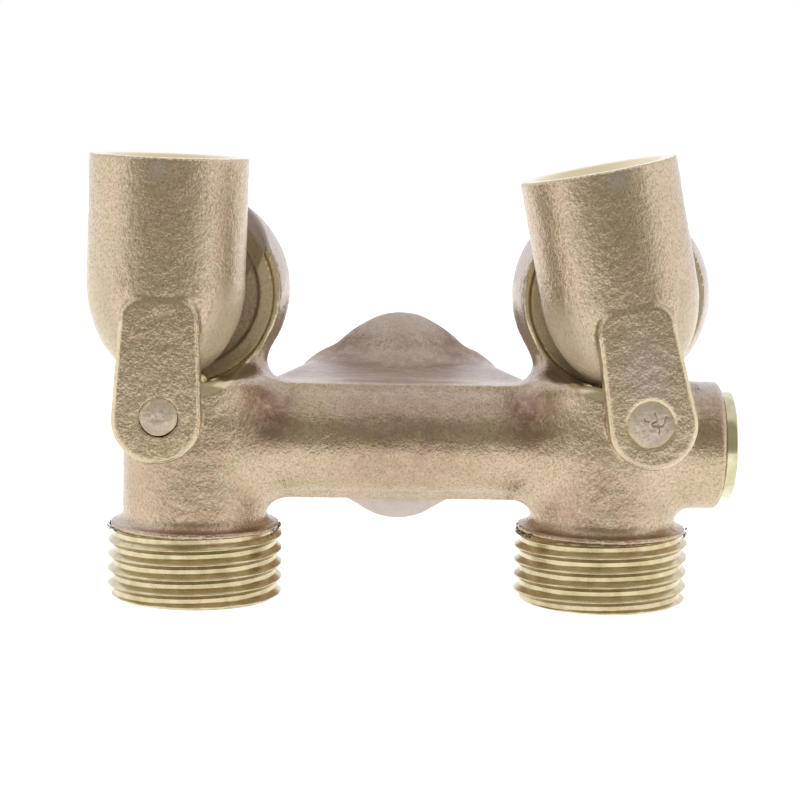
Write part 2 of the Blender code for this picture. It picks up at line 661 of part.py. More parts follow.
def retaining_ring(label, side):
    """Open snap ring in the groove below the spring plate."""
    outer = OUTLET_BORE / 2 + RING_GROOVE_DEPTH - SEAT_GAP
    inner = outer - RING_WIDTH
    start = math.degrees(RING_OPENING) / 2
    loop = arc((0.0, 0.0), outer, start, 360 - start, SMALL_STEPS)
    loop += arc((0.0, 0.0), inner, 360 - start, start, SMALL_STEPS)
    ring = plate(f"{label}_retaining_ring", [loop], RING_THICKNESS, PARTS, 0.0,
                 (outlet_x(side), 0, (RING_TOP + RING_BASE) / 2))
    seal_up(ring, STEEL)


# Pieces that move

def lever(label, side, tilt):
    """Lever casting: bored socket on a ball end, and a flat arm down to the hinge pin."""
    cup = CUP_DIAMETER / 2
    bore = SOCKET_DIAMETER / 2
    floor = CUP_TOP - SOCKET_DEPTH
    outside = cup_outline(cup)[1:]
    profile = [(0.0, floor), (bore, floor), (bore, CUP_TOP - SOCKET_EDGE), (bore + SOCKET_EDGE, CUP_TOP)]
    pivot = (pin_x(side), 0, PIN_HEIGHT)
    socket = turned(f"{label}_lever_cup", profile + outside, CUTTERS, (pin_x(side), -CUP_SETBACK, PIN_HEIGHT))
    half = ARM_WIDTH / 2
    outline = arc((0.0, 0.0), half, 180, 360, 3 * ARC_STEPS)
    outline += [(half, ARM_TOP - ARM_SHOULDER), (half - ARM_SHOULDER, ARM_TOP)]
    outline += [(ARM_SHOULDER - half, ARM_TOP), (-half, ARM_TOP - ARM_SHOULDER)]
    middle = -ARM_FRONT + ARM_THICKNESS / 2
    arm = plate(f"{label}_lever", [outline], ARM_THICKNESS, PARTS, ARM_EDGE)
    upright = Matrix.Translation((0, middle, 0)) @ Matrix.Rotation(math.pi / 2, 4, "X")
    arm.data.transform(upright)
    arm.location = pivot
    shank = PIN_DIAMETER / 2 + SEAT_GAP
    head = PIN_HEAD_DIAMETER / 2 + SEAT_GAP
    mouth = -ARM_FRONT - PIN_HEAD_SINK
    spread = head + (head - shank)
    eye = [(0.0, ARM_BACK + ARM_THICKNESS), (shank, ARM_BACK + ARM_THICKNESS)]
    eye += [(shank, -ARM_FRONT + PIN_HEAD_SINK), (spread, mouth), (0.0, mouth)]
    hole = turned(f"{label}_lever_eye", eye, CUTTERS, pivot, ALONG_Y, SMALL_STEPS)
    combine(arm, socket, "UNION")
    combine(arm, hole, "DIFFERENCE")
    seal_up(arm, CAST_BRASS)
    arm.rotation_euler = lever_turn(side, tilt)


def valve_stem(label, side, tilt):
    """Stem with a round tip under the lever, a disc head below the seat and a spigot for the spring."""
    radius = STEM_DIAMETER / 2
    spigot = STEM_SPIGOT_DIAMETER / 2
    tip = arc((0.0, STEM_TIP_SHUT - radius), radius, 90, 0)
    profile = [(0.0, STEM_TIP_SHUT)] + tip[1:]
    profile += [(radius, STEM_HEAD_TOP), (STEM_HEAD_DIAMETER / 2, STEM_HEAD_TOP)]
    profile += [(STEM_HEAD_DIAMETER / 2, STEM_HEAD_BASE), (spigot, STEM_HEAD_BASE)]
    profile += [(spigot, STEM_HEAD_BASE - STEM_SPIGOT_LENGTH), (0.0, STEM_HEAD_BASE - STEM_SPIGOT_LENGTH)]
    drop = (outlet_x(side), 0, -stem_drop(tilt))
    stem = turned(f"{label}_valve_stem", profile, PARTS, drop, steps=SMALL_STEPS)
    seal_up(stem, TURNED_BRASS)


def seat_washer(label, side, tilt):
    """Rubber disc on the stem's head, which closes the seat."""
    bore = STEM_DIAMETER / 2 + SEAT_GAP
    base = SEAT_WASHER_TOP - SEAT_WASHER_THICKNESS
    profile = tube(STEM_HEAD_DIAMETER / 2, bore, SEAT_WASHER_TOP, base)
    drop = (outlet_x(side), 0, -stem_drop(tilt))
    washer = turned(f"{label}_seat_washer", profile, PARTS, drop, steps=SMALL_STEPS)
    seal_up(washer, RUBBER)


manifold_body()
end_plug()
plug_seal()
inlet_washer()
for label, side, tilt in SIDES:
    lever(label, side, tilt)
    hinge_pin(label, side)
    gland_bush(label, side)
    stem_seal(label, side)
    valve_stem(label, side, tilt)
    seat_washer(label, side, tilt)
    return_spring(label, side, tilt)
    spring_plate(label, side)
    retaining_ring(label, side)
print(f"stem travel {1000 * STEM_TRAVEL:.3f} mm over {math.degrees(OPEN_TILT):.1f} degrees")
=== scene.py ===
import math

import bmesh
import bpy
import numpy as np
from mathutils import Matrix, Vector, noise


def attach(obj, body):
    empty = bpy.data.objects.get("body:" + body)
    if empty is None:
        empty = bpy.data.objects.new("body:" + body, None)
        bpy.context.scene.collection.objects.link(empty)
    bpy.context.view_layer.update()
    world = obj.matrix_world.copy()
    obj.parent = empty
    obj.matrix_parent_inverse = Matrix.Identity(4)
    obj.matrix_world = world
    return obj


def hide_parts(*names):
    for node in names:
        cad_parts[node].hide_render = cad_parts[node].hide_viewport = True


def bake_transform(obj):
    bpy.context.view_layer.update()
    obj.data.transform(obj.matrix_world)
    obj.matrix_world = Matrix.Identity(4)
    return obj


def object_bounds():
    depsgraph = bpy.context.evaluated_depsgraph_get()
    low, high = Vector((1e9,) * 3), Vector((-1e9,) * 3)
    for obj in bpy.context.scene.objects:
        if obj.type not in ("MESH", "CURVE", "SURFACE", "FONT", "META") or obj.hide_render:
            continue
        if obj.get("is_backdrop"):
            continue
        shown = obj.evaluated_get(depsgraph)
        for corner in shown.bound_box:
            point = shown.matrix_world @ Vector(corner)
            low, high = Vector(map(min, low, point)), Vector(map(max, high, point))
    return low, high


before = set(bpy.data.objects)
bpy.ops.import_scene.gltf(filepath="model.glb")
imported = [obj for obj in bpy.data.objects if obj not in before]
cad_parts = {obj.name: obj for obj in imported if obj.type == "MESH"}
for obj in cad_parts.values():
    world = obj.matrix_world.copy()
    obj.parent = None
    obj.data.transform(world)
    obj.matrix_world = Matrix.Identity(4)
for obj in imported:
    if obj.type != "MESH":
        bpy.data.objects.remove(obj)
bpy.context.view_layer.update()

# Casting: the raw sand-cast brass body, with two necks, the crosspipe between them, the six-sided inlet hub
# tied on behind it, a stub on the right and a hood over each neck. Lever pockets, rims and bores are machined
# afterwards. Its surface is worked out from distances in millimetres, with round fillets in the corners.
MIDDLE = np.array((1.3, 10.625, 0.0))
OUTLET_X, NECK_RADIUS, NECK_FOOT, NECK_TOP, NECK_FILLET = 31.0, 10.95, 10.3, 34.2, 3.5
SKIRT_RADIUS, SKIRT_LOW, SKIRT_HIGH, SKIRT_FILLET = 12.75, 10.7, 11.5, 1.6
PIPE_HEIGHT, PIPE_RADIUS = 24.1, 8.05
STUB_RADIUS, STUB_END, STUB_ROUNDING, STUB_FILLET = 9.75, 48.4, 1.0, 2.5
HUB_X, HUB_APOTHEM, HUB_DRAFT, HUB_CORNER, HUB_FRONT, HUB_REAR = 0.8, 15.7, 1.7, 8.0, 26.0, 38.0
HUB_EDGE, HUB_FILLET, HUB_SLOPE, LOBE_CORNER = 0.6, 2.2, 8.5, 10.0
BELL_DEPTH, BELL_HEIGHT, BELL_SPAN = 0.5, 36.8, 5.2
SLOPE_REACH, SLOPE_OVERLAP = 2, 1.0
TIE_FRONT, TIE_FRONT_HALF, TIE_REAR_HALF, TIE_RISE, TIE_EDGE, TIE_FILLET = 4.0, 24.5, 16.3, 0.07, 4.8, 2.5
TIE_AHEAD, TIE_BEHIND, TIE_OVERRUN = 0.5, 2.0, 1.1
HOOD_X, HOOD_HEIGHT, HOOD_RADIUS, HOOD_WIDEST, HOOD_DEPTH, HOOD_FILLET = 32.4, 46.2, 15.3, 8.0, 9.1, 6.0
RIM_FACE, RECESS_X, RECESS_HEIGHT, RECESS_RADIUS, RECESS_STEP, RECESS_SLOPE = 4.0, 33.1, 45.6, 13.5, 0.3, 0.18
STEP_WIDTH, CAST_EDGE, BORE_EDGE = 0.3, 0.3, 0.1
RECESS_BAND, RECESS_DROP, RIM_EDGE, NECK_EDGE, LIP_HEIGHT, LIP_BACK = 2.1, 0.6, 0.3, 2.0, 34.0, -2.5
PIN_X, PIN_HEIGHT, PAD_RADIUS, PAD_FACE, PIN_BORE = 35.84, 29.3, 6.2, -12.65, 2.8
CUP_RADIUS, CUP_AXIS, BALL_RISE, CUP_GAP, OPEN_TILT = 11.75, -4.4, 15.6, 0.3, math.radians(15)
# Hollows about the axes of a neck, a pin, the crosspipe and the hub: radius, low end and high end
VALVE_BORES = ((8.6, -9.0, 16.0), (4.8, 15.0, 19.0), (5.6, 18.0, 28.3), (2.3, 20.0, 32.0), (4.0, 29.15, 40.0))
PIN_HOLES, HUB_BORES = ((PIN_BORE, -16.0, -6.5),), ((13.2, 27.0, 41.0), (5.5, 0.0, 28.0))
PIPE_BORES = ((3.9, -31.0, 42.0), (6.5, 39.9, 52.0), (7.75, STUB_END - 0.85, 52.0))
CASTING_GRID, CASTING_LOW, CASTING_HIGH = 0.32, (-50.0, -14.0, 6.4), (50.0, 39.2, 63.0)
# Red-brown stains: centre, size and strength
STAINS = (
    ((-20.5, -5.5, 28.6), 5.5, 1.0), ((19.5, -5.5, 28.6), 5.5, 0.95), ((0.0, -6.5, 28.0), 13.0, 0.5),
    ((46.0, -6.0, 28.5), 5.5, 0.45), ((-19.5, 2.0, 34.5), 4.0, 0.8), ((20.0, 2.0, 34.5), 4.0, 0.6),
    ((-29.0, -11.5, 12.3), 3.4, 0.45), ((-23.0, -9.5, 12.6), 3.6, 0.45), ((26.0, -11.5, 12.3), 5.0, 0.55),
    ((33.0, -12.5, 12.0), 3.5, 0.4), ((-8.5, 24.0, 37.0), 5.5, 1.0), ((10.5, 24.0, 37.0), 5.5, 1.0),
)


def rounded(one, other, edge):
    """Distance to what two solids share, with a round edge."""
    one, other = one + edge, other + edge
    outside = np.hypot(np.maximum(one, 0), np.maximum(other, 0))
    return np.minimum(np.maximum(one, other), 0) + outside - edge


def rod(across, along, radius, low, high, edge=0.0):
    """Distance to a round bar, given the distance from its axis and the place along it."""
    return rounded(across - radius, np.abs(along - (low + high) / 2) - (high - low) / 2, edge)


def egg(across, along, radius, depth):
    """Distance to a solid that is round one way and flattened or stretched the other, nearly."""
    stretch = np.hypot(across / radius, along / depth)
    slope = np.hypot(across / radius ** 2, along / depth ** 2)
    return stretch * (stretch - 1) / np.maximum(slope, 1e-3)


def filleted(one, other, radius):
    """Two solids joined, with a round fillet in the corner between them."""
    corner = np.hypot(np.maximum(radius - one, 0), np.maximum(radius - other, 0))
    return np.maximum(radius, np.minimum(one, other)) - corner


def machined_away(solid, hollow, edge):
    """A solid with a hollow cut out of it, the edge left round."""
    corner = np.hypot(np.maximum(edge + solid, 0), np.maximum(edge - hollow, 0))
    return np.minimum(-edge, np.maximum(solid, -hollow)) + corner


def hexagon(across, up, apothem, corner):
    """Distance to a hexagon with one corner up and round corners."""
    flat = apothem - corner
    across, up = np.abs(across), np.abs(up)
    fold = 2 * np.minimum(0.5 * across - math.cos(math.pi / 6) * up, 0)
    across, up = across - 0.5 * fold, up + math.cos(math.pi / 6) * fold
    up = up - np.clip(up, -flat * math.tan(math.pi / 6), flat * math.tan(math.pi / 6))
    return np.hypot(up, across - flat) * np.sign(across - flat) - corner


def swinging_cup(side, y, z):
    """Distance to the space that a lever's cup and ball end pass through between shut and open."""
    inboard, up = PIN_X - side, z - PIN_HEIGHT
    tilt = np.clip(np.arctan2(inboard, up), 0, OPEN_TILT)
    across = inboard * np.cos(tilt) - up * np.sin(tilt)
    along = inboard * np.sin(tilt) + up * np.cos(tilt)
    round_end = np.minimum(along - BALL_RISE, 0)
    return np.sqrt(across ** 2 + (y - CUP_AXIS) ** 2 + round_end ** 2) - CUP_RADIUS - CUP_GAP


def casting_field(x, y, z):
    side = np.abs(x)
    from_neck, from_pipe = np.hypot(side - OUTLET_X, y), np.hypot(y, z - PIPE_HEIGHT)
    from_hood, from_pin = np.hypot(side - HOOD_X, z - HOOD_HEIGHT), np.hypot(side - PIN_X, z - PIN_HEIGHT)
    neck = machined_away(np.maximum(from_neck - NECK_RADIUS, NECK_FOOT - z), NECK_TOP - z, NECK_EDGE)
    neck = filleted(neck, rod(from_neck, z, SKIRT_RADIUS, SKIRT_LOW, SKIRT_HIGH, CAST_EDGE), SKIRT_FILLET)
    neck = np.minimum(neck, rod(from_pin, y, PAD_RADIUS, PAD_FACE, 0.0, CAST_EDGE))
    hood = np.maximum(egg(from_hood, y - HOOD_WIDEST, HOOD_RADIUS, HOOD_DEPTH), RIM_FACE - y)
    neck = filleted(neck, hood, HOOD_FILLET)
    pipe = np.maximum(from_pipe - PIPE_RADIUS, side - OUTLET_X)
    share = np.clip((y - TIE_FRONT) / (HUB_FRONT - TIE_FRONT), 0, TIE_OVERRUN)
    splay = math.cos(math.atan((TIE_FRONT_HALF - TIE_REAR_HALF) / (HUB_FRONT - TIE_FRONT)))
    flank = (np.abs(x - HUB_X * share) - TIE_FRONT_HALF + (TIE_FRONT_HALF - TIE_REAR_HALF) * share) * splay
    risen = z - np.where(z > PIPE_HEIGHT, TIE_RISE * y, 0)
    tie = rod(flank, risen, 0.0, PIPE_HEIGHT - PIPE_RADIUS, PIPE_HEIGHT + PIPE_RADIUS, TIE_EDGE)
    tie = np.maximum(tie, np.maximum(-TIE_AHEAD - y, y - HUB_FRONT - TIE_BEHIND))
    drawn_in = HUB_DRAFT * (y - HUB_FRONT) / (HUB_REAR - HUB_FRONT)
    corner = np.where(z > PIPE_HEIGHT, HUB_CORNER, LOBE_CORNER)
    six_sided = hexagon(x - HUB_X, z - PIPE_HEIGHT, HUB_APOTHEM, corner)
    bell = np.sin(math.pi * np.clip((z - BELL_HEIGHT) / BELL_SPAN, -1, 1))
    six_sided = six_sided - BELL_DEPTH * bell
    hub = rod(six_sided + drawn_in, y, 0.0, HUB_FRONT, HUB_REAR, HUB_EDGE)
    ahead = np.clip((HUB_FRONT - y) / HUB_SLOPE, 0, SLOPE_REACH)
    slope = np.maximum((six_sided + HUB_SLOPE * ahead) / math.sqrt(2), y - HUB_FRONT - SLOPE_OVERLAP)
    hub = np.minimum(hub, np.maximum(slope, HUB_FRONT - SLOPE_REACH * HUB_SLOPE - y))
    solid = filleted(filleted(pipe, tie, TIE_FILLET), hub, HUB_FILLET)
    solid = filleted(solid, neck, NECK_FILLET)
    stub = rod(from_pipe, x, STUB_RADIUS, OUTLET_X, STUB_END, STUB_ROUNDING)
    solid = filleted(solid, stub, STUB_FILLET)
    from_recess = np.hypot(side - RECESS_X, z - RECESS_HEIGHT)
    inside = RECESS_RADIUS - from_recess
    recess_floor = RIM_FACE + RECESS_STEP + RECESS_SLOPE * inside
    recess_floor = recess_floor + RECESS_DROP * np.clip((inside - RECESS_BAND) / STEP_WIDTH, 0, 1)
    dish = np.maximum(from_recess - RECESS_RADIUS, y - recess_floor)
    dish = np.maximum(dish, np.where(y < LIP_BACK, LIP_HEIGHT - z, dish))
    solid = machined_away(solid, np.minimum(dish, swinging_cup(side, y, z)), RIM_EDGE)
    from_hub, bores = np.hypot(x - HUB_X, z - PIPE_HEIGHT), np.inf
    for across, along, hollows in ((from_neck, z, VALVE_BORES), (from_pin, y, PIN_HOLES),
                                   (from_pipe, x, PIPE_BORES), (from_hub, y, HUB_BORES)):
        for radius, low, high in hollows:
            bores = np.minimum(bores, rod(across, along, radius, low, high))
    return machined_away(solid, bores, BORE_EDGE)


def skin_of(field, low, high, grid):
    """Points and four-sided faces of the surface where a distance field is zero."""
    axes = [np.arange(a, b + grid, grid, dtype=np.float32) for a, b in zip(low, high)]
    value = field(*np.meshgrid(*axes, indexing="ij"))
    cells = tuple(n - 1 for n in value.shape)
    hits, total, edges = np.zeros(cells, np.float32), np.zeros((*cells, 3), np.float32), []
    for axis in range(3):
        order = (axis, *[k for k in range(3) if k != axis])
        line = np.transpose(value, order)
        near, far = line[:-1], line[1:]
        crosses = (near < 0) != (far < 0)
        share = np.where(crosses, near / np.where(crosses, near - far, 1), 0)
        for u in (0, 1):
            for v in (0, 1):
                part = (slice(None), slice(u, u + crosses.shape[1] - 1), slice(v, v + crosses.shape[2] - 1))
                back = np.argsort(order)
                count = np.transpose(crosses[part], back)
                hits += count
                total[..., axis] += np.transpose(share[part], back)
                total[..., order[1]] += u * count
                total[..., order[2]] += v * count
        edges.append((order, crosses, near < 0))
    filled = hits > 0
    number = np.full(cells, -1, np.int32)
    number[filled] = np.arange(filled.sum())
    points = np.argwhere(filled) + total[filled] / hits[filled][:, None]
    points = np.array([a[0] for a in axes]) + points * grid
    faces = []
    for order, crosses, leaves in edges:
        cell = np.transpose(number, order)
        inner = crosses[:, 1:-1, 1:-1]
        around = np.stack([cell[:, :-1, :-1], cell[:, 1:, :-1], cell[:, 1:, 1:], cell[:, :-1, 1:]], -1)[inner]
        turn = leaves[:, 1:-1, 1:-1][inner] != (order[0] == 1)
        faces.append(np.where(turn[:, None], around, around[:, ::-1]))
    for _ in range(4):
        level = field(*points.T)
        steps = 0.1 * grid * np.eye(3)
        slope = np.stack([field(*(points + s).T) - field(*(points - s).T) for s in steps], 1) / (0.2 * grid)
        move = slope * (level / np.maximum((slope ** 2).sum(1), 0.3))[:, None]
        points = points - np.clip(move, -0.5 * grid, 0.5 * grid)
    return points, np.concatenate(faces)


def in_scene(name, data):
    """A new object in the scene."""
    made = bpy.data.objects.new(name, data)
    bpy.context.scene.collection.objects.link(made)
    return made


def mesh_piece(name, points, faces, material):
    """A mesh in the row's frame, from points in millimetres in the casting's own frame."""
    mesh = bpy.data.meshes.new(name)
    places = (np.asarray(points) - MIDDLE) / 1000
    mesh.from_pydata(places.tolist(), [], [list(map(int, face)) for face in faces])
    mesh.materials.append(material)
    return in_scene(name, mesh)


def fitted(piece, body, slot, *nodes, crisp=35):
    """Shades a piece with crisp edges, hangs it on its body and hides the nodes that it stands for; the
    finish it is given is not used.
    """
    piece.data.shade_smooth()
    piece.data.set_sharp_from_angle(angle=math.radians(crisp))
    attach(piece, body)
    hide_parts(*nodes)
    return piece


def painted(piece, **layers):
    """Numbers at each point of a piece, for its material to read."""
    for name, amounts in layers.items():
        layer = piece.data.attributes.new(name, "FLOAT", "POINT")
        layer.data.foreach_set("value", np.asarray(amounts, np.float32))


def fade(amount, start, end):
    """A share that grows from 0 to 1 as an amount goes from start to end."""
    return np.clip((amount - start) / (end - start), 0, 1)


def strongest(*shares):
    """The largest of several shares at each point."""
    return np.maximum.reduce([np.asarray(share, float) for share in shares])


def sand_lumps(points, spread):
    """Smooth random lumps, as sand leaves them, about -1 to 1 high."""
    places = [Vector(p) for p in points]
    return np.array([noise.noise(p / spread) + 0.5 * noise.noise(p * 2.3 / spread) for p in places])


def outwards(points, faces):
    """The direction out of the surface at each point."""
    corners = points[faces]
    across = np.cross(corners[:, 2] - corners[:, 0], corners[:, 3] - corners[:, 1])
    normals = np.zeros_like(points)
    for corner in range(4):
        np.add.at(normals, faces[:, corner], across)
    return normals / np.maximum(np.linalg.norm(normals, axis=1), 1e-9)[:, None]


def add_node(tree, kind, feeds, **settings):
    """A node whose sockets take a value, or a link from another node's socket."""
    made = tree.nodes.new(kind)
    for name, value in settings.items():
        setattr(made, name, value)
    for socket, value in feeds.items():
        if isinstance(value, bpy.types.NodeSocket):
            tree.links.new(value, made.inputs[socket])
        else:
            made.inputs[socket].default_value = value
    return made


def output(*node, **settings):
    """The first output of a new node."""
    return add_node(*node, **settings).outputs[0]


def calc(tree, operation, *terms):
    """The result of a sum on numbers and sockets."""
    return output(tree, "ShaderNodeMath", dict(enumerate(terms)), operation=operation)


def ramp(tree, amount, low, high, start=0.0, end=1.0):
    """An amount taken smoothly from start at low to end at high."""
    feeds = {"Value": amount, "From Min": low, "From Max": high, "To Min": start, "To Max": end}
    return output(tree, "ShaderNodeMapRange", feeds, interpolation_type="SMOOTHSTEP")


def blend(tree, share, one, other):
    """One colour going over into another."""
    return add_node(tree, "ShaderNodeMix", {0: share, 6: one, 7: other}, data_type="RGBA").outputs[2]


def speckle(tree, place, scale, detail=3.0, rough=0.6, twist=0.0):
    feeds = {"Vector": place, "Scale": scale, "Detail": detail, "Roughness": rough, "Distortion": twist}
    return output(tree, "ShaderNodeTexNoise", feeds)


def dress(tree, shader, colour, roughness, height=None, strength=0.2, depth=0.03):
    """Gives a shader its colour, its roughness and, where there is one, its relief, in millimetres."""
    tree.links.new(colour, shader.inputs["Base Color"])
    tree.links.new(roughness, shader.inputs["Roughness"])
    if height is not None:
        feeds = {"Height": height, "Strength": strength, "Distance": depth / 1000}
        tree.links.new(output(tree, "ShaderNodeBump", feeds), shader.inputs["Normal"])


def attribute(tree, name):
    return add_node(tree, "ShaderNodeAttribute", {}, attribute_name=name).outputs["Fac"]


def new_material(name, metallic):
    material = bpy.data.materials.new(name)
    material.use_nodes = True
    shader = material.node_tree.nodes["Principled BSDF"]
    shader.inputs["Metallic"].default_value = metallic
    return material, material.node_tree, shader


def millimetres(tree, stretch=(1, 1, 1)):
    """The place on the object, in millimetres in the row's frame."""
    where = add_node(tree, "ShaderNodeTexCoord", {}).outputs["Object"]
    scale = tuple(1000 * s for s in stretch)
    return output(tree, "ShaderNodeMapping", {"Vector": where, "Scale": scale})


OLIVE_BRASS, PINK_BRASS, SAND_SHADE = (0.50, 0.405, 0.275, 1), (0.54, 0.42, 0.315, 1), (0.25, 0.19, 0.115, 1)
RED_STAIN, BRIGHT_BRASS, WEAR_AND_SHEEN_GREY = (0.25, 0.145, 0.105, 1), (0.70, 0.60, 0.39, 1), (0.58, 0.53, 0.53, 1)
SAND_GLINT = (0.72, 0.61, 0.43, 1)


def cast_brass(name):
    """Granular brass as it leaves the sand, with stains and painted shade, a painted pale sheen, dull
    pockets, and bright turned faces with painted highlights.
    """
    material, tree, shader = new_material(name, 1.0)
    place, grained = millimetres(tree), millimetres(tree, (1.0, 1.0, 0.85))
    clouds = ramp(tree, speckle(tree, place, 0.14, 2.0), 0.35, 0.65)
    grit = speckle(tree, grained, 3.0, 3.0, 0.6, 0.3)
    pits = speckle(tree, grained, 1.6, 3.0, 0.55, 0.3)
    colour = blend(tree, clouds, OLIVE_BRASS, PINK_BRASS)
    colour = blend(tree, ramp(tree, grit, 0.50, 0.34, 0.0, 0.55), colour, SAND_SHADE)
    colour = blend(tree, ramp(tree, grit, 0.54, 0.68, 0.0, 0.4), colour, SAND_GLINT)
    blotches = ramp(tree, speckle(tree, place, 0.5, 4.0, 0.7), 0.3, 0.6, 0.4, 1.0)
    # Red-brown: real stains, and painted shade at the recess's step and on and round the rivets
    stained = calc(tree, "MULTIPLY", attribute(tree, "stain"), blotches)
    colour = blend(tree, stained, colour, RED_STAIN)
    worn, machined = attribute(tree, "worn"), attribute(tree, "machined")
    skin = calc(tree, "SUBTRACT", 0.85, calc(tree, "MULTIPLY", attribute(tree, "dull"), 0.65))
    tree.links.new(calc(tree, "MAXIMUM", skin, machined), shader.inputs["Metallic"])
    # Pale lilac-grey: painted sheen on the casting and on a cup, real wear on the right arm
    colour = blend(tree, worn, colour, WEAR_AND_SHEEN_GREY)
    # Bright brass: real machined faces, and painted highlights along rims and edges
    colour = blend(tree, machined, colour, BRIGHT_BRASS)
    smooth = calc(tree, "MAXIMUM", machined, calc(tree, "MULTIPLY", worn, 0.6))
    matt = ramp(tree, grit, 0.3, 0.7, 0.26, 0.20)
    matt = output(tree, "ShaderNodeMix", {0: smooth, 2: matt, 3: 0.2}, data_type="FLOAT")
    grain = calc(tree, "ADD", calc(tree, "MULTIPLY", grit, 0.5), calc(tree, "MULTIPLY", pits, 0.6))
    sandy = calc(tree, "MULTIPLY", grain, calc(tree, "SUBTRACT", 1.0, smooth))
    dress(tree, shader, colour, matt, sandy, strength=0.5, depth=0.3)
    return material


# Where the casting is bright, pale, red or dull, in millimetres, and how much. The pale places are a painted
# sheen, the rim's bright line is partly painted highlight and the step's dark line is painted shade
POCKET_BACK, CUP_SKIN, CUP_FRONT, RIM_MIDDLE, RIM_BACK, STEP_MIDDLE = 8.2, 0.3, -6.0, 0.2, 0.4, 0.2
SADDLE_FRONT, SADDLE_BACK, SADDLE_HALF, SADDLE_TOP, SADDLE_BAND = (6.0, 10.0), 2.0, 21.0, 33.5, 2.4
HOOD_RISE, LOBE_FALL, STUB_RISE = (33.0, 44.0), (13.0, 10.0), (31.5, 33.5)
LOBE_FRONT, LOBE_HALF, STUB_START = 20.0, 14.0, 40.0
COLLAR_FALL, SADDLE_FALL, COLLAR_RADIUS = (13.6, 12.0), (35.3, 34.1), 13.2
NECK_RISE, NECK_END, NECK_SKIN = (12.5, 14.5), 30.0, (NECK_RADIUS + 0.6, NECK_RADIUS + 0.1)
BRIGHT_RIM, BRIGHT_BAND, PALE_HOOD, PALE_LOBE, PALE_STUB, PALE_SADDLE = 0.85, 0.3, 0.6, 0.6, 0.45, 0.05
RED_COLLAR, RED_POCKET, STEP_SHADE, RED_NECK = 0.25, 0.25, 0.7, 0.25
RED_SADDLE, RED_LOW_SADDLE, DULL_SADDLE = 0.2, 0.4, 0.75
points, faces = skin_of(casting_field, CASTING_LOW, CASTING_HIGH, CASTING_GRID)
x, y, z = points.T
side = np.abs(x)
from_neck, from_hub = np.hypot(side - OUTLET_X, y), np.hypot(x - HUB_X, z - PIPE_HEIGHT)
from_hood = np.hypot(side - HOOD_X, z - HOOD_HEIGHT)
inside = RECESS_RADIUS - np.hypot(side - RECESS_X, z - RECESS_HEIGHT)
in_pocket = fade(inside, 0.2, 0.5) * (y < POCKET_BACK)
on_rim = fade(np.abs(inside + RIM_MIDDLE), 0.75, 0.45) * (y < RIM_FACE + RIM_BACK)
on_band = in_pocket * fade(inside, RECESS_BAND, RECESS_BAND - 0.2)
on_step = in_pocket * fade(np.abs(inside - RECESS_BAND - STEP_MIDDLE), 0.3, 0.1)
deep = (swinging_cup(side, y, z) < CUP_SKIN) & (y > CUP_FRONT)
outer_hood = fade(egg(from_hood, y - HOOD_WIDEST, HOOD_RADIUS, HOOD_DEPTH), -0.6, -0.2) * ~deep
in_saddle = fade(y, *SADDLE_FRONT) * (y < HUB_FRONT + SADDLE_BACK) * (side < SADDLE_HALF)
on_neck = fade(from_neck, *NECK_SKIN) * fade(z, *NECK_RISE) * (y < 0.0) * (z < NECK_END)
# Painted sheen of the tent's light, pale lilac-grey, on the hood tops, the cut over each cup, the saddle, the
# lobe and the stub's top
painted_sheen = strongest(
    deep * fade(inside, 0.0, -0.4) * (z > HOOD_HEIGHT),
    PALE_HOOD * outer_hood * fade(z, *HOOD_RISE),
    PALE_SADDLE * in_saddle * np.exp(-((z - SADDLE_TOP) / SADDLE_BAND) ** 2),
    PALE_LOBE * (y > LOBE_FRONT) * fade(z, *LOBE_FALL) * (side < LOBE_HALF),
    PALE_STUB * (x > STUB_START) * fade(z, *STUB_RISE),
)
in_bores = ((from_neck < 8.8) & (z < 32.0)) | ((from_hub < 13.3) & (y > 26.5))
# Machined rims, recess band and bores; the rim's bright line is partly a painted highlight along the edge
turned_and_rim_highlight = strongest(BRIGHT_RIM * on_rim, BRIGHT_BAND * on_band, in_bores | (y > HUB_REAR - 0.2))
# Real red-brown stains, a red-brown pocket, and painted shade in the dark line along the recess's step
stain = strongest(
    RED_COLLAR * fade(z, *COLLAR_FALL) * (from_neck < COLLAR_RADIUS),
    RED_POCKET * in_pocket * (1 - on_band),
    STEP_SHADE * on_step,
    in_saddle * (RED_SADDLE + RED_LOW_SADDLE * fade(z, *SADDLE_FALL)),
    RED_NECK * on_neck,
)
for centre, size, strength in STAINS:
    stain = np.maximum(stain, strength * np.exp(-(((points - centre) ** 2).sum(1) / size ** 2) ** 1.5))
dull = strongest(in_pocket, deep, DULL_SADDLE * in_saddle)
lumps = 0.05 * sand_lumps(points, 2.2) + 0.02 * sand_lumps(points, 0.8)
rough = points + outwards(points, faces) * (lumps * (1 - np.maximum(in_pocket, turned_and_rim_highlight)))[:, None]
casting_brass = cast_brass("cast_brass")
middles = points[faces].mean(1)[:, 0]
for name, low, high in (("casting_left", -99, -19), ("casting_middle", -19, 19), ("casting_right", 19, 99)):
    used, own = np.unique(faces[(middles >= low) & (middles < high)], return_inverse=True)
    casting = mesh_piece(name, rough[used], own.reshape(-1, 4), casting_brass)
    painted(casting, stain=stain[used], machined=turned_and_rim_highlight[used], worn=painted_sheen[used], dull=dull[used])
    fitted(casting, "manifold", "cast_brass", "manifold_body", crisp=50)

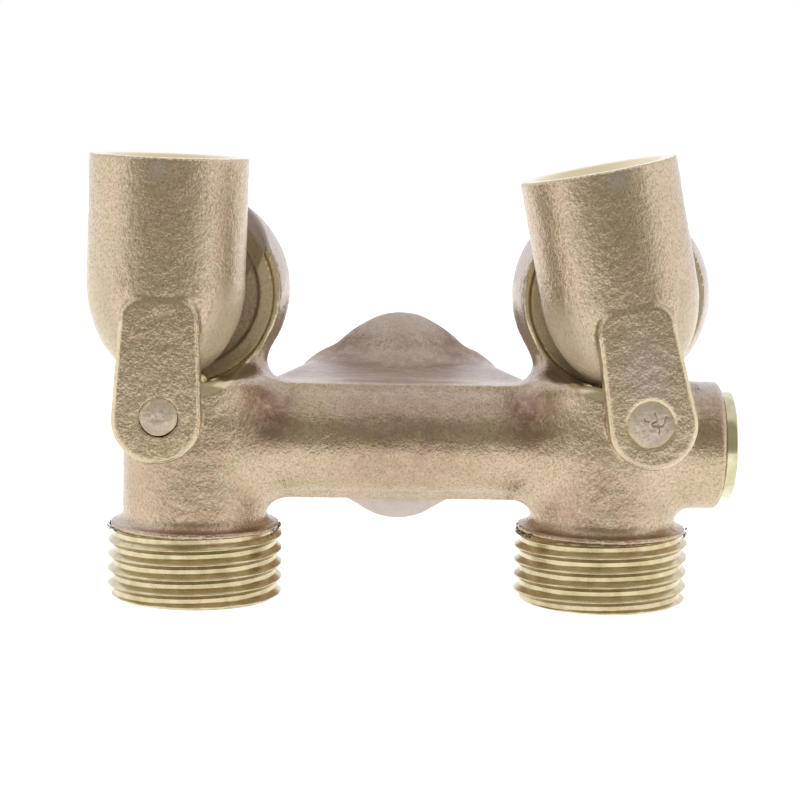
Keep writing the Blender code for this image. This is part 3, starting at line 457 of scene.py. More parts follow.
# Hose threads: the outlet ends, turned bright and cut with a right-hand hose thread, then chamfered at the
# mouth. A snap-ring groove lies inside each bore. The thread is raised on a plain turned ring by nodes.
THREAD_ROOT, THREAD_DEPTH, THREAD_PITCH, CREST_FLAT, THREAD_FLANK = 12.32, 0.88, 2.209, 0.22, math.radians(37)
THREAD_TOP, THREAD_BORE, GROOVE_RADIUS, THREAD_END, LEAD_IN, RAGGED = 11.2, 8.6, 9.4, 10.9, 0.6, 0.6
THREAD_START, WALL_ROWS, END_CHAMFER, BORE_CHAMFER, GROOVE_LOW, GROOVE_HIGH = 0.1, 150, 0.25, 0.3, 1.9, 3.5
THREAD_FLANK_SHADE, THREAD_BRASS = (0.19, 0.145, 0.09, 1), (0.61, 0.53, 0.35, 1)
FIRST_CREST = {"left": 2.5, "right": 2.1}


def turned(profile, steps, closed=False):
    """Points and faces of a (radius, height) profile turned about Z; points on the axis are shared."""
    points, rows, faces = [], [], []
    for radius, height in profile:
        if radius < 1e-9:
            rows.append([len(points)] * steps)
            points.append((0.0, 0.0, height))
            continue
        rows.append(list(range(len(points), len(points) + steps)))
        for i in range(steps):
            turn = 2 * math.pi * i / steps
            points.append((radius * math.cos(turn), radius * math.sin(turn), height))
    for one, other in zip(rows, rows[1:] + rows[:1] if closed else rows[1:]):
        for i in range(steps):
            j = (i + 1) % steps
            corner = list(dict.fromkeys((one[i], other[i], other[j], one[j])))
            if len(corner) > 2:
                faces.append(corner)
    return np.array(points), faces


def stepped(start, end, count):
    """Points from start up to, but without, end."""
    return [tuple(np.array(start) + (np.array(end) - np.array(start)) * i / count) for i in range(count)]


def new_tree(name, sizes):
    """A node tree with a geometry in and out, a material, a place and named sizes."""
    tree = bpy.data.node_groups.new(name, "GeometryNodeTree")
    tree.interface.new_socket("Geometry", in_out="INPUT", socket_type="NodeSocketGeometry")
    tree.interface.new_socket("Geometry", in_out="OUTPUT", socket_type="NodeSocketGeometry")
    for size, kind in {"Finish": "Material", "Place": "Vector", "Turn": "Rotation", **sizes}.items():
        tree.interface.new_socket(size, in_out="INPUT", socket_type="NodeSocket" + kind)
    return tree, tree.nodes.new("NodeGroupInput").outputs


def close_tree(tree, geometry, given):
    """Puts what a tree has made in its place, and ends the tree in real geometry with its material."""
    feeds = {"Geometry": geometry, "Translation": given["Place"], "Rotation": given["Turn"]}
    placed = output(tree, "GeometryNodeTransform", feeds)
    real = output(tree, "GeometryNodeRealizeInstances", {0: placed})
    dressed = output(tree, "GeometryNodeSetMaterial", {"Geometry": real, "Material": given["Finish"]})
    add_node(tree, "NodeGroupOutput", {0: dressed})
    return tree


def grown(name, tree, finish, place, blank=None, **sizes):
    """The plain mesh that a tree makes from its sizes, in millimetres, as an object."""
    piece = in_scene(name, blank or bpy.data.meshes.new(name))
    modifier = piece.modifiers.new(tree.name, "NODES")
    modifier.node_group = tree
    sizes = {size.replace("_", " "): value for size, value in sizes.items()}
    given = {"finish": finish, "place": tuple((np.array(place) - MIDDLE) / 1000), **sizes}
    for socket in tree.interface.items_tree:
        if socket.in_out == "INPUT" and socket.name.lower() in given:
            value = given[socket.name.lower()]
            length = socket.socket_type == "NodeSocketFloat"
            modifier[socket.identifier] = value / 1000 if length else value
    graph = bpy.context.evaluated_depsgraph_get()
    mesh = bpy.data.meshes.new_from_object(piece.evaluated_get(graph))
    piece.modifiers.clear()
    piece.data = mesh
    mesh.name = name
    return piece


def thread_tree():
    """Raises a helical ridge on the wall of a ring that stands on Z, with a ragged upper end."""
    tree, given = new_tree("screw_thread", {name: "Float" for name in (
        "Wall", "Depth", "Pitch", "Crest Flat", "First Crest", "Start", "End", "Lead In", "Ragged")})

    def do(operation, *terms):
        return calc(tree, operation, *terms)

    place = output(tree, "GeometryNodeInputPosition", {})
    x, y, z = add_node(tree, "ShaderNodeSeparateXYZ", {0: place}).outputs
    radius = do("SQRT", do("ADD", do("MULTIPLY", x, x), do("MULTIPLY", y, y)))
    turn = do("ADD", do("DIVIDE", do("ARCTAN2", y, x), 2 * math.pi), 0.25)
    climb = do("DIVIDE", do("SUBTRACT", z, given["First Crest"]), given["Pitch"])
    phase = do("FRACT", do("ADD", do("SUBTRACT", climb, turn), 10.5))
    off = do("MULTIPLY", do("ABSOLUTE", do("SUBTRACT", phase, 0.5)), given["Pitch"])
    off = do("SUBTRACT", off, do("MULTIPLY", given["Crest Flat"], 0.5))
    flank = do("MULTIPLY", do("ABSOLUTE", given["Depth"]), math.tan(THREAD_FLANK))
    ridge = do("SUBTRACT", 1.0, do("DIVIDE", off, flank))
    lower = do("DIVIDE", do("SUBTRACT", z, given["Start"]), given["Lead In"])
    tear = do("MULTIPLY", do("SUBTRACT", speckle(tree, place, 700.0), 0.5), given["Ragged"])
    upper = do("ADD", do("SUBTRACT", given["End"], z), tear)
    upper = do("DIVIDE", upper, given["Lead In"])
    ridge = do("MINIMUM", ridge, do("MINIMUM", lower, upper))
    ridge = do("MAXIMUM", do("MINIMUM", ridge, 1.0), 0.0)
    lift = do("DIVIDE", do("MULTIPLY", ridge, given["Depth"]), radius)
    level = output(tree, "ShaderNodeCombineXYZ", {0: x, 1: y})
    offset = output(tree, "ShaderNodeVectorMath", {0: level, "Scale": lift}, operation="SCALE")
    on_wall = do("LESS_THAN", do("ABSOLUTE", do("SUBTRACT", radius, given["Wall"])), 1e-5)
    # Marks the lower flank under each crest, for painted shade
    below = do("MULTIPLY", do("LESS_THAN", phase, 0.48), do("GREATER_THAN", ridge, 0.02))
    feeds = {"Geometry": given["Geometry"], "Selection": on_wall, "Name": "groove", "Value": below}
    marked = output(tree, "GeometryNodeStoreNamedAttribute", feeds, data_type="FLOAT")
    feeds = {"Geometry": marked, "Selection": on_wall, "Offset": offset}
    return close_tree(tree, output(tree, "GeometryNodeSetPosition", feeds), given)


def turned_brass(name, axis, middle, colour, rough):
    """Bright brass with fine lathe lines round an axis, and painted shade on the thread's lower flanks under
    the crests.
    """
    material, tree, shader = new_material(name, 1.0)
    place = millimetres(tree)
    spread = output(tree, "ShaderNodeVectorMath", {0: place, 1: tuple(middle)}, operation="SUBTRACT")
    parts = list(add_node(tree, "ShaderNodeSeparateXYZ", {0: spread}).outputs)
    along = parts.pop("XYZ".index(axis))
    squares = [calc(tree, "MULTIPLY", part, part) for part in parts]
    track = calc(tree, "ADD", calc(tree, "SQRT", calc(tree, "ADD", *squares)), along)
    feeds = {"W": track, "Scale": 7.0, "Detail": 3.0, "Roughness": 0.7}
    lines = output(tree, "ShaderNodeTexNoise", feeds, noise_dimensions="1D")
    patch = speckle(tree, place, 0.35, 3.0)
    darker = tuple(c * k for c, k in zip(colour[:3], (0.80, 0.76, 0.66))) + (1,)
    shade = blend(tree, ramp(tree, patch, 0.35, 0.7), colour, darker)
    shade = blend(tree, ramp(tree, lines, 0.5, 0.3, 0.0, 0.3), shade, darker)
    # Painted shade on the thread's lower flanks
    shade = blend(tree, calc(tree, "MULTIPLY", attribute(tree, "groove"), 0.5), shade, THREAD_FLANK_SHADE)
    matt = ramp(tree, patch, 0.3, 0.7, rough - 0.05, rough + 0.08)
    dress(tree, shader, shade, matt, lines)
    return material


def ring_mesh(name, profile, steps=160):
    """A closed ring in metres, standing on Z at the origin."""
    points, faces = turned(profile, steps, closed=True)
    mesh = bpy.data.meshes.new(name)
    mesh.from_pydata((points / 1000).tolist(), [], faces)
    return mesh


cut_thread = thread_tree()
outlets = {"left": np.array((-OUTLET_X, 0.0, 0.0)), "right": np.array((OUTLET_X, 0.0, 0.0))}
for label, outlet in outlets.items():
    brass = turned_brass(f"{label}_thread_brass", "Z", outlet - MIDDLE, THREAD_BRASS, 0.22)
    wall = stepped((THREAD_ROOT, END_CHAMFER), (THREAD_ROOT, THREAD_TOP), WALL_ROWS)
    profile = [(THREAD_BORE + BORE_CHAMFER, 0.0), (THREAD_ROOT - END_CHAMFER, 0.0), *wall]
    profile += [(THREAD_ROOT, THREAD_TOP), (THREAD_BORE, THREAD_TOP), (THREAD_BORE, GROOVE_HIGH)]
    profile += [(GROOVE_RADIUS, GROOVE_HIGH), (GROOVE_RADIUS, GROOVE_LOW), (THREAD_BORE, GROOVE_LOW)]
    profile.append((THREAD_BORE, BORE_CHAMFER))
    ring = grown(f"{label}_hose_thread", cut_thread, brass, outlet, ring_mesh("thread", profile),
                 wall=THREAD_ROOT, depth=THREAD_DEPTH, pitch=THREAD_PITCH, crest_flat=CREST_FLAT,
                 first_crest=FIRST_CREST[label], start=THREAD_START, end=THREAD_END, lead_in=LEAD_IN,
                 ragged=RAGGED)
    fitted(ring, "manifold", "turned_brass", "manifold_body", crisp=60)

# Burrs: torn flakes of dark skin that the threading die has left under the collar of each outlet. Nodes
# scatter them round a circle, each with its own size and turn.
BURR_RADIUS, BURR_HEIGHT, BURR_COUNT, BURR_SIZE, BURR_REACH, BURR_SEED = 12.75, 10.8, 130, 0.3, 11.4, 11


def burr_tree():
    tree, given = new_tree("burrs", {
        "Radius": "Float", "Reach": "Float", "Size": "Float", "Count": "Int", "Seed": "Int"})
    feeds = {"Vertices": given["Count"], "Radius": given["Radius"]}
    ring = output(tree, "GeometryNodeMeshCircle", feeds)

    def drawn(low, high, seed):
        seed = calc(tree, "ADD", given["Seed"], seed)
        feeds = {0: low, 1: high, "Seed": seed}
        return output(tree, "FunctionNodeRandomValue", feeds, data_type="FLOAT_VECTOR")

    shift = drawn((-0.0004, -0.0004, -0.0003), (0.0004, 0.0004, 0.0003), 0.0)
    ring = output(tree, "GeometryNodeSetPosition", {"Geometry": ring, "Offset": shift})
    place = output(tree, "GeometryNodeInputPosition", {})
    across = calc(tree, "ABSOLUTE", output(tree, "ShaderNodeSeparateXYZ", {0: place}))
    flake = output(tree, "GeometryNodeMeshIcoSphere", {"Radius": given["Size"], "Subdivisions": 1})
    far_out = calc(tree, "GREATER_THAN", across, given["Reach"])
    feeds = {"Points": ring, "Selection": far_out, "Instance": flake,
             "Rotation": drawn((0, 0, 0), (6.28, 6.28, 6.28), 1.0),
             "Scale": drawn((0.3, 0.25, 0.2), (1.5, 1.0, 0.6), 2.0)}
    return close_tree(tree, output(tree, "GeometryNodeInstanceOnPoints", feeds), given)


def burnt_skin(name):
    """Dark grey-brown casting skin, torn and dull."""
    material, tree, shader = new_material(name, 0.7)
    patch = speckle(tree, millimetres(tree), 1.2, 3.0)
    colour = blend(tree, ramp(tree, patch, 0.35, 0.65), (0.13, 0.11, 0.095, 1), (0.32, 0.27, 0.22, 1))
    dress(tree, shader, colour, ramp(tree, patch, 0.3, 0.7, 0.45, 0.65))
    return material


torn_skin, scatter_burrs = burnt_skin("torn_skin"), burr_tree()
for seed, (label, outlet) in enumerate(outlets.items(), BURR_SEED):
    burrs = grown(f"{label}_burrs", scatter_burrs, torn_skin, outlet + (0, 0, BURR_HEIGHT),
                  radius=BURR_RADIUS, reach=BURR_REACH, size=BURR_SIZE, count=BURR_COUNT, seed=seed)
    fitted(burrs, "manifold", "cast_brass", "manifold_body")

# Inlet thread: the hub's rear bore, tapped with the same pitch for a male fitting, with a faded lead at the
# mouth and a plain run at the bottom for the washer.
INLET_ROOT, INLET_DEPTH, INLET_WALL_BACK, INLET_START, INLET_MOUTH = 13.1, 0.9, 13.6, 29.6, 37.9
INLET_ROWS, INLET_CREST, INLET_LEAD = 110, 30.6, 1.6
ALONG_X, ALONG_Y = Matrix.Rotation(math.pi / 2, 3, "Y"), Matrix.Rotation(-math.pi / 2, 3, "X")
hub_axis = np.array((HUB_X, 0.0, PIPE_HEIGHT))
wall = stepped((INLET_ROOT, INLET_MOUTH), (INLET_ROOT, INLET_START), INLET_ROWS)
profile = [(INLET_WALL_BACK, INLET_START), (INLET_WALL_BACK, INLET_MOUTH), *wall, (INLET_ROOT, INLET_START)]
brass = turned_brass("inlet_thread_brass", "Y", hub_axis - MIDDLE, THREAD_BRASS, 0.22)
ring = grown("inlet_thread", cut_thread, brass, hub_axis, ring_mesh("thread", profile),
             turn=(-math.pi / 2, 0, 0), wall=INLET_ROOT, depth=-INLET_DEPTH, pitch=THREAD_PITCH,
             crest_flat=CREST_FLAT, first_crest=INLET_CREST, start=INLET_START, end=INLET_MOUTH,
             lead_in=INLET_LEAD, ragged=0.0)
fitted(ring, "manifold", "turned_brass", "manifold_body", crisp=60)

# Inlet washer: a flat black rubber hose washer, pressed to the bottom of the inlet.
WASHER_LOW, WASHER_HIGH, WASHER_RADIUS, WASHER_BORE = 27.3, 29.3, 11.9, 6.5


def eased(profile, radius, closed=False):
    """A profile with its corners rounded, apart from points on the axis and the open ends."""
    softened, count = [], len(profile)
    for i, here in enumerate(profile):
        here = np.array(here, float)
        if here[0] < 1e-9 or (not closed and i in (0, count - 1)):
            softened.append(tuple(here))
            continue
        before, after = np.array(profile[i - 1], float), np.array(profile[(i + 1) % count], float)
        back, on = before - here, after - here
        length = min(radius, 0.45 * np.linalg.norm(back), 0.45 * np.linalg.norm(on))
        start, end = here + back / np.linalg.norm(back) * length, here + on / np.linalg.norm(on) * length
        for t in (0.0, 0.33, 0.67, 1.0):
            softened.append(tuple((1 - t) ** 2 * start + 2 * t * (1 - t) * here + t ** 2 * end))
    return softened


def facing_out(piece):
    """Turns all faces of a closed piece outwards."""
    shell = bmesh.new()
    shell.from_mesh(piece.data)
    bmesh.ops.remove_doubles(shell, verts=shell.verts, dist=1e-7)
    bmesh.ops.recalc_face_normals(shell, faces=shell.faces)
    shell.to_mesh(piece.data)
    shell.free()
    return piece


def turned_piece(name, profile, material, place, turn=Matrix.Identity(3), edge=0.15, steps=96, closed=False):
    """A turned solid in its place, from (radius, height) points up its outside."""
    points, faces = turned(eased(profile, edge, closed), steps, closed)
    return facing_out(mesh_piece(name, points @ np.array(turn).T + np.array(place), faces, material))


def flat_ring(outer, bore, low, high):
    return [(bore, low), (outer, low), (outer, high), (bore, high)]


def black_rubber(name):
    """Dull black rubber with a fine moulded grain and paler scuffs."""
    material, tree, shader = new_material(name, 0.0)
    place = millimetres(tree)
    scuffs = ramp(tree, speckle(tree, place, 0.8, 4.0), 0.45, 0.75)
    colour = blend(tree, scuffs, (0.018, 0.017, 0.016, 1), (0.05, 0.047, 0.043, 1))
    matt = ramp(tree, scuffs, 0.0, 1.0, 0.55, 0.8)
    dress(tree, shader, colour, matt, speckle(tree, place, 6.0), depth=0.05)
    return material


rubber = black_rubber("black_rubber")
profile = flat_ring(WASHER_RADIUS, WASHER_BORE, WASHER_LOW, WASHER_HIGH)
washer = turned_piece("inlet_hose_washer", profile, rubber, hub_axis, ALONG_Y, 0.35, closed=True)
fitted(washer, "manifold", "rubber", "inlet_washer")

# Plug and its washer: a turned and polished brass plug screwed into the end of the stub, with a hexagon
# socket, and the thin black rubber washer that sits in a recess under its head.
PLUG_SEAL_LOW, PLUG_SEAL_HIGH, PLUG_FACE, PLUG_END = 47.85, 48.4, 48.5, 50.3
PLUG_RADIUS, PLUG_SHANK, PLUG_SHANK_END, PLUG_SEAL_RADIUS, PLUG_SEAL_BORE = 8.15, 6.2, 40.25, 7.45, 6.5
SOCKET_FLATS, SOCKET_DEPTH, SOCKET_POINT, SOCKET_BEVEL, PLUG_STEPS = 6.0, 5.0, 0.8, 0.25, 96
PLUG_EDGE, SOCKET_LIP, PLUG_BRASS = 0.3, 0.4, (0.64, 0.62, 0.45, 1)
pipe_axis = np.array((0.0, 0.0, PIPE_HEIGHT))
plug_brass = turned_brass("plug_brass", "X", pipe_axis - MIDDLE, PLUG_BRASS, 0.2)
corner = SOCKET_FLATS / 2 / math.cos(math.pi / 6)
profile = [(0.0, PLUG_SHANK_END), (PLUG_SHANK, PLUG_SHANK_END), (PLUG_SHANK, PLUG_FACE)]
profile += [(PLUG_RADIUS, PLUG_FACE), (PLUG_RADIUS, PLUG_END), (corner + SOCKET_LIP, PLUG_END)]
points, faces = turned(eased(profile, PLUG_EDGE), PLUG_STEPS)
rows, points = len(points), points.tolist()
angles = [2 * math.pi * i / PLUG_STEPS for i in range(PLUG_STEPS)]
hexed = [SOCKET_FLATS / 2 / math.cos((a % (math.pi / 3)) - math.pi / 6) for a in angles]
for height in (PLUG_END - SOCKET_BEVEL, PLUG_END - SOCKET_DEPTH):
    points += [(r * math.cos(a), r * math.sin(a), height) for r, a in zip(hexed, angles)]
points.append((0.0, 0.0, PLUG_END - SOCKET_DEPTH - SOCKET_POINT))
for first in (rows - PLUG_STEPS, rows, rows + PLUG_STEPS):
    for i in range(PLUG_STEPS):
        one, other = first + i, first + (i + 1) % PLUG_STEPS
        sides = (one, one + PLUG_STEPS, other + PLUG_STEPS, other)
        faces.append((one, len(points) - 1, other) if first == rows + PLUG_STEPS else sides)
points = np.array(points) @ np.array(ALONG_X).T + pipe_axis
plug = facing_out(mesh_piece("end_plug_turned", points, faces, plug_brass))
fitted(plug, "manifold", "turned_brass", "end_plug")
profile = flat_ring(PLUG_SEAL_RADIUS, PLUG_SEAL_BORE, PLUG_SEAL_LOW, PLUG_SEAL_HIGH)
seal = turned_piece("plug_washer", profile, rubber, pipe_axis, ALONG_X, closed=True)
fitted(seal, "manifold", "rubber", "plug_seal")

# Glands: an O-ring round each valve stem, and the small turned bush pressed in above it, at the bottom of the
# lever's pocket.
BUSH_LOW, BUSH_HIGH, BUSH_RADIUS, STEM_HOLE = 31.15, 32.35, 3.7, 2.3
RING_HEIGHT, RING_RADIUS, RING_WIRE, RING_STEPS = 30.15, 3.0, 0.7, 24
VALVE_BRASS = (0.66, 0.55, 0.32, 1)
valve_brass = turned_brass("valve_brass", "Z", -MIDDLE, VALVE_BRASS, 0.2)
for label, outlet in outlets.items():
    profile = flat_ring(BUSH_RADIUS, STEM_HOLE, BUSH_LOW, BUSH_HIGH)
    bush = turned_piece(f"{label}_gland_turned", profile, valve_brass, outlet, edge=0.3, closed=True)
    fitted(bush, "manifold", "turned_brass", f"{label}_gland_bush")
    around = [2 * math.pi * i / RING_STEPS for i in range(RING_STEPS)]
    profile = [(RING_RADIUS + RING_WIRE * math.cos(a), RING_HEIGHT + RING_WIRE * math.sin(a)) for a in around]
    seal = turned_piece(f"{label}_stem_o_ring", profile, rubber, outlet, edge=0.0, closed=True)
    fitted(seal, "manifold", "rubber", f"{label}_stem_seal", crisp=80)

# Valve stems and seat washers: turned brass stems with a round tip that the lever's ball end pushes down, a
# head below and a spigot for the spring; the rubber washer on the head shuts the seat.
STEM_RADIUS, STEM_TIP, HEAD_LOW, HEAD_HIGH, HEAD_RADIUS = 2.0, 34.466, 12.2, 13.8, 6.8
SPIGOT_RADIUS, SPIGOT_END, SEAT_LOW, SEAT_HIGH = 2.5, 10.0, 14.1, 15.7
STEM_DROP = {"left": 0.1038, "right": 1.0950}
for label, outlet in outlets.items():
    place = outlet - (0, 0, STEM_DROP[label])
    tip = [(STEM_RADIUS * math.cos(a), STEM_TIP - STEM_RADIUS + STEM_RADIUS * math.sin(a))
           for a in (math.pi / 16 * i for i in range(8))]
    profile = [(0.0, SPIGOT_END), (SPIGOT_RADIUS, SPIGOT_END), (SPIGOT_RADIUS, HEAD_LOW)]
    profile += [(HEAD_RADIUS, HEAD_LOW), (HEAD_RADIUS, HEAD_HIGH), (STEM_RADIUS, HEAD_HIGH)]
    profile += [*tip, (0.0, STEM_TIP)]
    stem = turned_piece(f"{label}_stem_turned", profile, valve_brass, place)
    fitted(stem, f"{label}_stem", "turned_brass", f"{label}_valve_stem")
    profile = flat_ring(HEAD_RADIUS, STEM_HOLE, SEAT_LOW, SEAT_HIGH)
    seat = turned_piece(f"{label}_seat_rubber", profile, rubber, place, edge=0.3, closed=True)
    fitted(seat, f"{label}_stem", "rubber", f"{label}_seat_washer")

# Return springs: coils of round stainless wire between the plate and the stem's head. Nodes wind the wire
# on a spiral, its length set so that the upper end meets the stem's head.
COIL_RADIUS, WIRE_RADIUS, COIL_TURNS, COIL_LOW, COIL_HIGH = 4.6, 0.5, 3, 5.7, 11.4


def spring_tree():
    tree, given = new_tree("coil_spring", {
        "Coil": "Float", "Wire": "Float", "Length": "Float", "Turns": "Int"})
    feeds = {"Resolution": 48, "Rotations": given["Turns"], "Start Radius": given["Coil"],
             "End Radius": given["Coil"], "Height": given["Length"]}
    coil = output(tree, "GeometryNodeCurveSpiral", feeds)
    feeds = {"Resolution": 14, "Radius": given["Wire"]}
    wire = output(tree, "GeometryNodeCurvePrimitiveCircle", feeds)
    feeds = {"Curve": coil, "Profile Curve": wire, "Fill Caps": True}
    return close_tree(tree, output(tree, "GeometryNodeCurveToMesh", feeds), given)


def spring_steel(name):
    """Drawn stainless wire, grey and satin, with faint die marks."""
    material, tree, shader = new_material(name, 1.0)
    marks = speckle(tree, millimetres(tree), 2.5, 4.0)
    colour = blend(tree, marks, (0.42, 0.42, 0.43, 1), (0.60, 0.60, 0.60, 1))
    dress(tree, shader, colour, ramp(tree, marks, 0.3, 0.7, 0.22, 0.38), marks, strength=0.15)
    return material


steel, wind_spring = spring_steel("spring_steel"), spring_tree()
for label, outlet in outlets.items():
    length = COIL_HIGH - STEM_DROP[label] - COIL_LOW
    spring = grown(f"{label}_coil_spring", wind_spring, steel, outlet + (0, 0, COIL_LOW), coil=COIL_RADIUS,
                   wire=WIRE_RADIUS, length=length, turns=COIL_TURNS)
    facing_out(spring).data.shade_smooth()
    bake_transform(spring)
    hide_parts(f"{label}_return_spring")

# Spring plates and retaining rings: brass discs drilled for the water, which carry the springs, and the open
# snap rings of flat steel that hold them in the outlets' grooves. Nodes drill the plates and bend the rings.
PLATE_LOW, PLATE_HIGH, PLATE_RADIUS, PLATE_EYE = 3.5, 4.9, 8.3, 3.4
PLATE_HOLE, PLATE_CIRCLE, PLATE_HOLES = 1.2, 6.7, 6
SNAP_LOW, SNAP_HIGH, SNAP_BORE, SNAP_RADIUS, SNAP_OPENING = 2.2, 3.2, 7.3, 9.1, math.radians(50)


def plate_tree():
    tree, given = new_tree("drilled_plate", {
        "Radius": "Float", "Thickness": "Float", "Eye": "Float", "Hole": "Float", "Circle": "Float",
        "Holes": "Int"})

    def cylinder(sides, radius, depth):
        feeds = {"Vertices": sides, "Radius": given[radius], "Depth": depth}
        return add_node(tree, "GeometryNodeMeshCylinder", feeds).outputs["Mesh"]

    deep = calc(tree, "MULTIPLY", given["Thickness"], 2.0)
    disc = cylinder(96, "Radius", given["Thickness"])
    drill, eye = cylinder(28, "Hole", deep), cylinder(56, "Eye", deep)
    feeds = {"Vertices": given["Holes"], "Radius": given["Circle"]}
    ring = output(tree, "GeometryNodeMeshCircle", feeds)
    drills = output(tree, "GeometryNodeInstanceOnPoints", {"Points": ring, "Instance": drill})
    drills = output(tree, "GeometryNodeRealizeInstances", {0: drills})
    cutters = add_node(tree, "GeometryNodeJoinGeometry", {0: drills})
    tree.links.new(eye, cutters.inputs[0])
    feeds = {"Mesh 1": disc, "Mesh 2": cutters.outputs[0]}
    drilled = add_node(tree, "GeometryNodeMeshBoolean", feeds, operation="DIFFERENCE", solver="EXACT")
    return close_tree(tree, drilled.outputs["Mesh"], given)


def snap_ring_tree():
    tree, given = new_tree("snap_ring", {"Middle": "Float", "Width": "Float", "Thickness": "Float"})
    feeds = {"Resolution": 120, "Radius": given["Middle"], "Start Angle": SNAP_OPENING / 2,
             "Sweep Angle": 2 * math.pi - SNAP_OPENING}
    bend = output(tree, "GeometryNodeCurveArc", feeds)
    bend = output(tree, "GeometryNodeSetCurveNormal", {"Curve": bend}, mode="Z_UP")
    feeds = {"Width": given["Width"], "Height": given["Thickness"]}
    strip = output(tree, "GeometryNodeCurvePrimitiveQuadrilateral", feeds)
    feeds = {"Curve": bend, "Profile Curve": strip, "Fill Caps": True}
    return close_tree(tree, output(tree, "GeometryNodeCurveToMesh", feeds), given)


drill_plate, bend_ring = plate_tree(), snap_ring_tree()
for label, outlet in outlets.items():
    place = outlet + (0, 0, (PLATE_LOW + PLATE_HIGH) / 2)
    plate = grown(f"{label}_plate_drilled", drill_plate, valve_brass, place,
                  radius=PLATE_RADIUS, thickness=PLATE_HIGH - PLATE_LOW, eye=PLATE_EYE, hole=PLATE_HOLE,
                  circle=PLATE_CIRCLE, holes=PLATE_HOLES)
    fitted(facing_out(plate), "manifold", "turned_brass", f"{label}_spring_plate")
    place = outlet + (0, 0, (SNAP_LOW + SNAP_HIGH) / 2)
    snap = grown(f"{label}_snap_ring", bend_ring, steel, place, middle=(SNAP_BORE + SNAP_RADIUS) / 2,
                 width=SNAP_RADIUS - SNAP_BORE, thickness=SNAP_HIGH - SNAP_LOW)
    fitted(facing_out(snap), "manifold", "steel", f"{label}_retaining_ring")

# Levers: two raw brass castings, each a thick-walled socket on a bullet-shaped end with a flat arm down its
# front. The socket's mouth is faced and bored bright, and the arm is drilled and countersunk for its rivet.
CUP_TOP, SOCKET_RADIUS, SOCKET_FLOOR, NOSE_RISE, NOSE_DEPTH = 37.44, 8.0, 20.44, 18.7, 14.85
ARM_FRONT, ARM_BACK, ARM_HALF, ARM_TAPER, ARM_SHIFT, ARM_DROP = -16.15, -12.95, 6.55, 0.055, 0.36, 0.4
ARM_TOP, ARM_CORNER, MOUTH_CHAMFER = 17.4, 3.0, 1.7
ARM_CHAMFER, ARM_FILLET, LEVER_GRID = 0.6, 0.5, 0.3
CUP_EDGE, SOCKET_EDGE, SOCKET_RIM, EYE_EDGE, SOCKET_OPEN, EYE_ENDS = 0.2, 0.2, 0.3, 0.1, 60.0, (-20.0, -10.0)
LEVER_LOW, LEVER_HIGH = (-12.5, -17.5, -7.5), (12.5, 8.0, 38.0)
BRIGHT_EDGE, DARK_EYE, BRIGHT_NOSE, WORN_ARM, CUP_HIGHLIGHT = 0.5, 0.5, 0.2, 0.45, 0.7
TILT = {"left": math.radians(1.1), "right": math.radians(11.6)}
EYE_MOUTH = {"left": 2.75, "right": 3.45}


def arm_outline(x, z, outboard):
    """Distance across the arm's face to its edge: round below, drawn in and round-shouldered above."""
    across, up = np.abs(x - outboard * ARM_SHIFT), z + ARM_DROP
    wide = across - ARM_HALF + ARM_TAPER * np.maximum(up, 0)
    above = rounded(wide, z - ARM_TOP, ARM_CORNER)
    return np.where(up > 0, above, np.hypot(across, up) - ARM_HALF)


def lever_field(x, y, z, outboard, eye_mouth):
    from_axis, from_pin = np.hypot(x, y - CUP_AXIS), np.hypot(x, z)
    nose = egg(from_axis, np.minimum(z - NOSE_RISE, 0), CUP_RADIUS, NOSE_DEPTH)
    outline, front, back = arm_outline(x, z, outboard), ARM_FRONT - y, y - ARM_BACK
    chamfer = (outline + front + ARM_CHAMFER) / math.sqrt(2)
    arm = np.maximum(np.maximum(outline, chamfer), np.maximum(front, back))
    lever = filleted(nose, arm, ARM_FILLET)
    lever = machined_away(lever, CUP_TOP - z, CUP_EDGE)
    mouth = (from_axis - SOCKET_RADIUS - MOUTH_CHAMFER + CUP_TOP - z) / math.sqrt(2)
    socket = rod(from_axis, z, SOCKET_RADIUS, SOCKET_FLOOR, SOCKET_OPEN, SOCKET_EDGE)
    lever = machined_away(lever, np.minimum(socket, mouth), SOCKET_RIM)
    countersink = (from_pin - eye_mouth - (ARM_FRONT - y)) / math.sqrt(2)
    return machined_away(lever, np.minimum(rod(from_pin, y, PIN_BORE, *EYE_ENDS), countersink), EYE_EDGE)


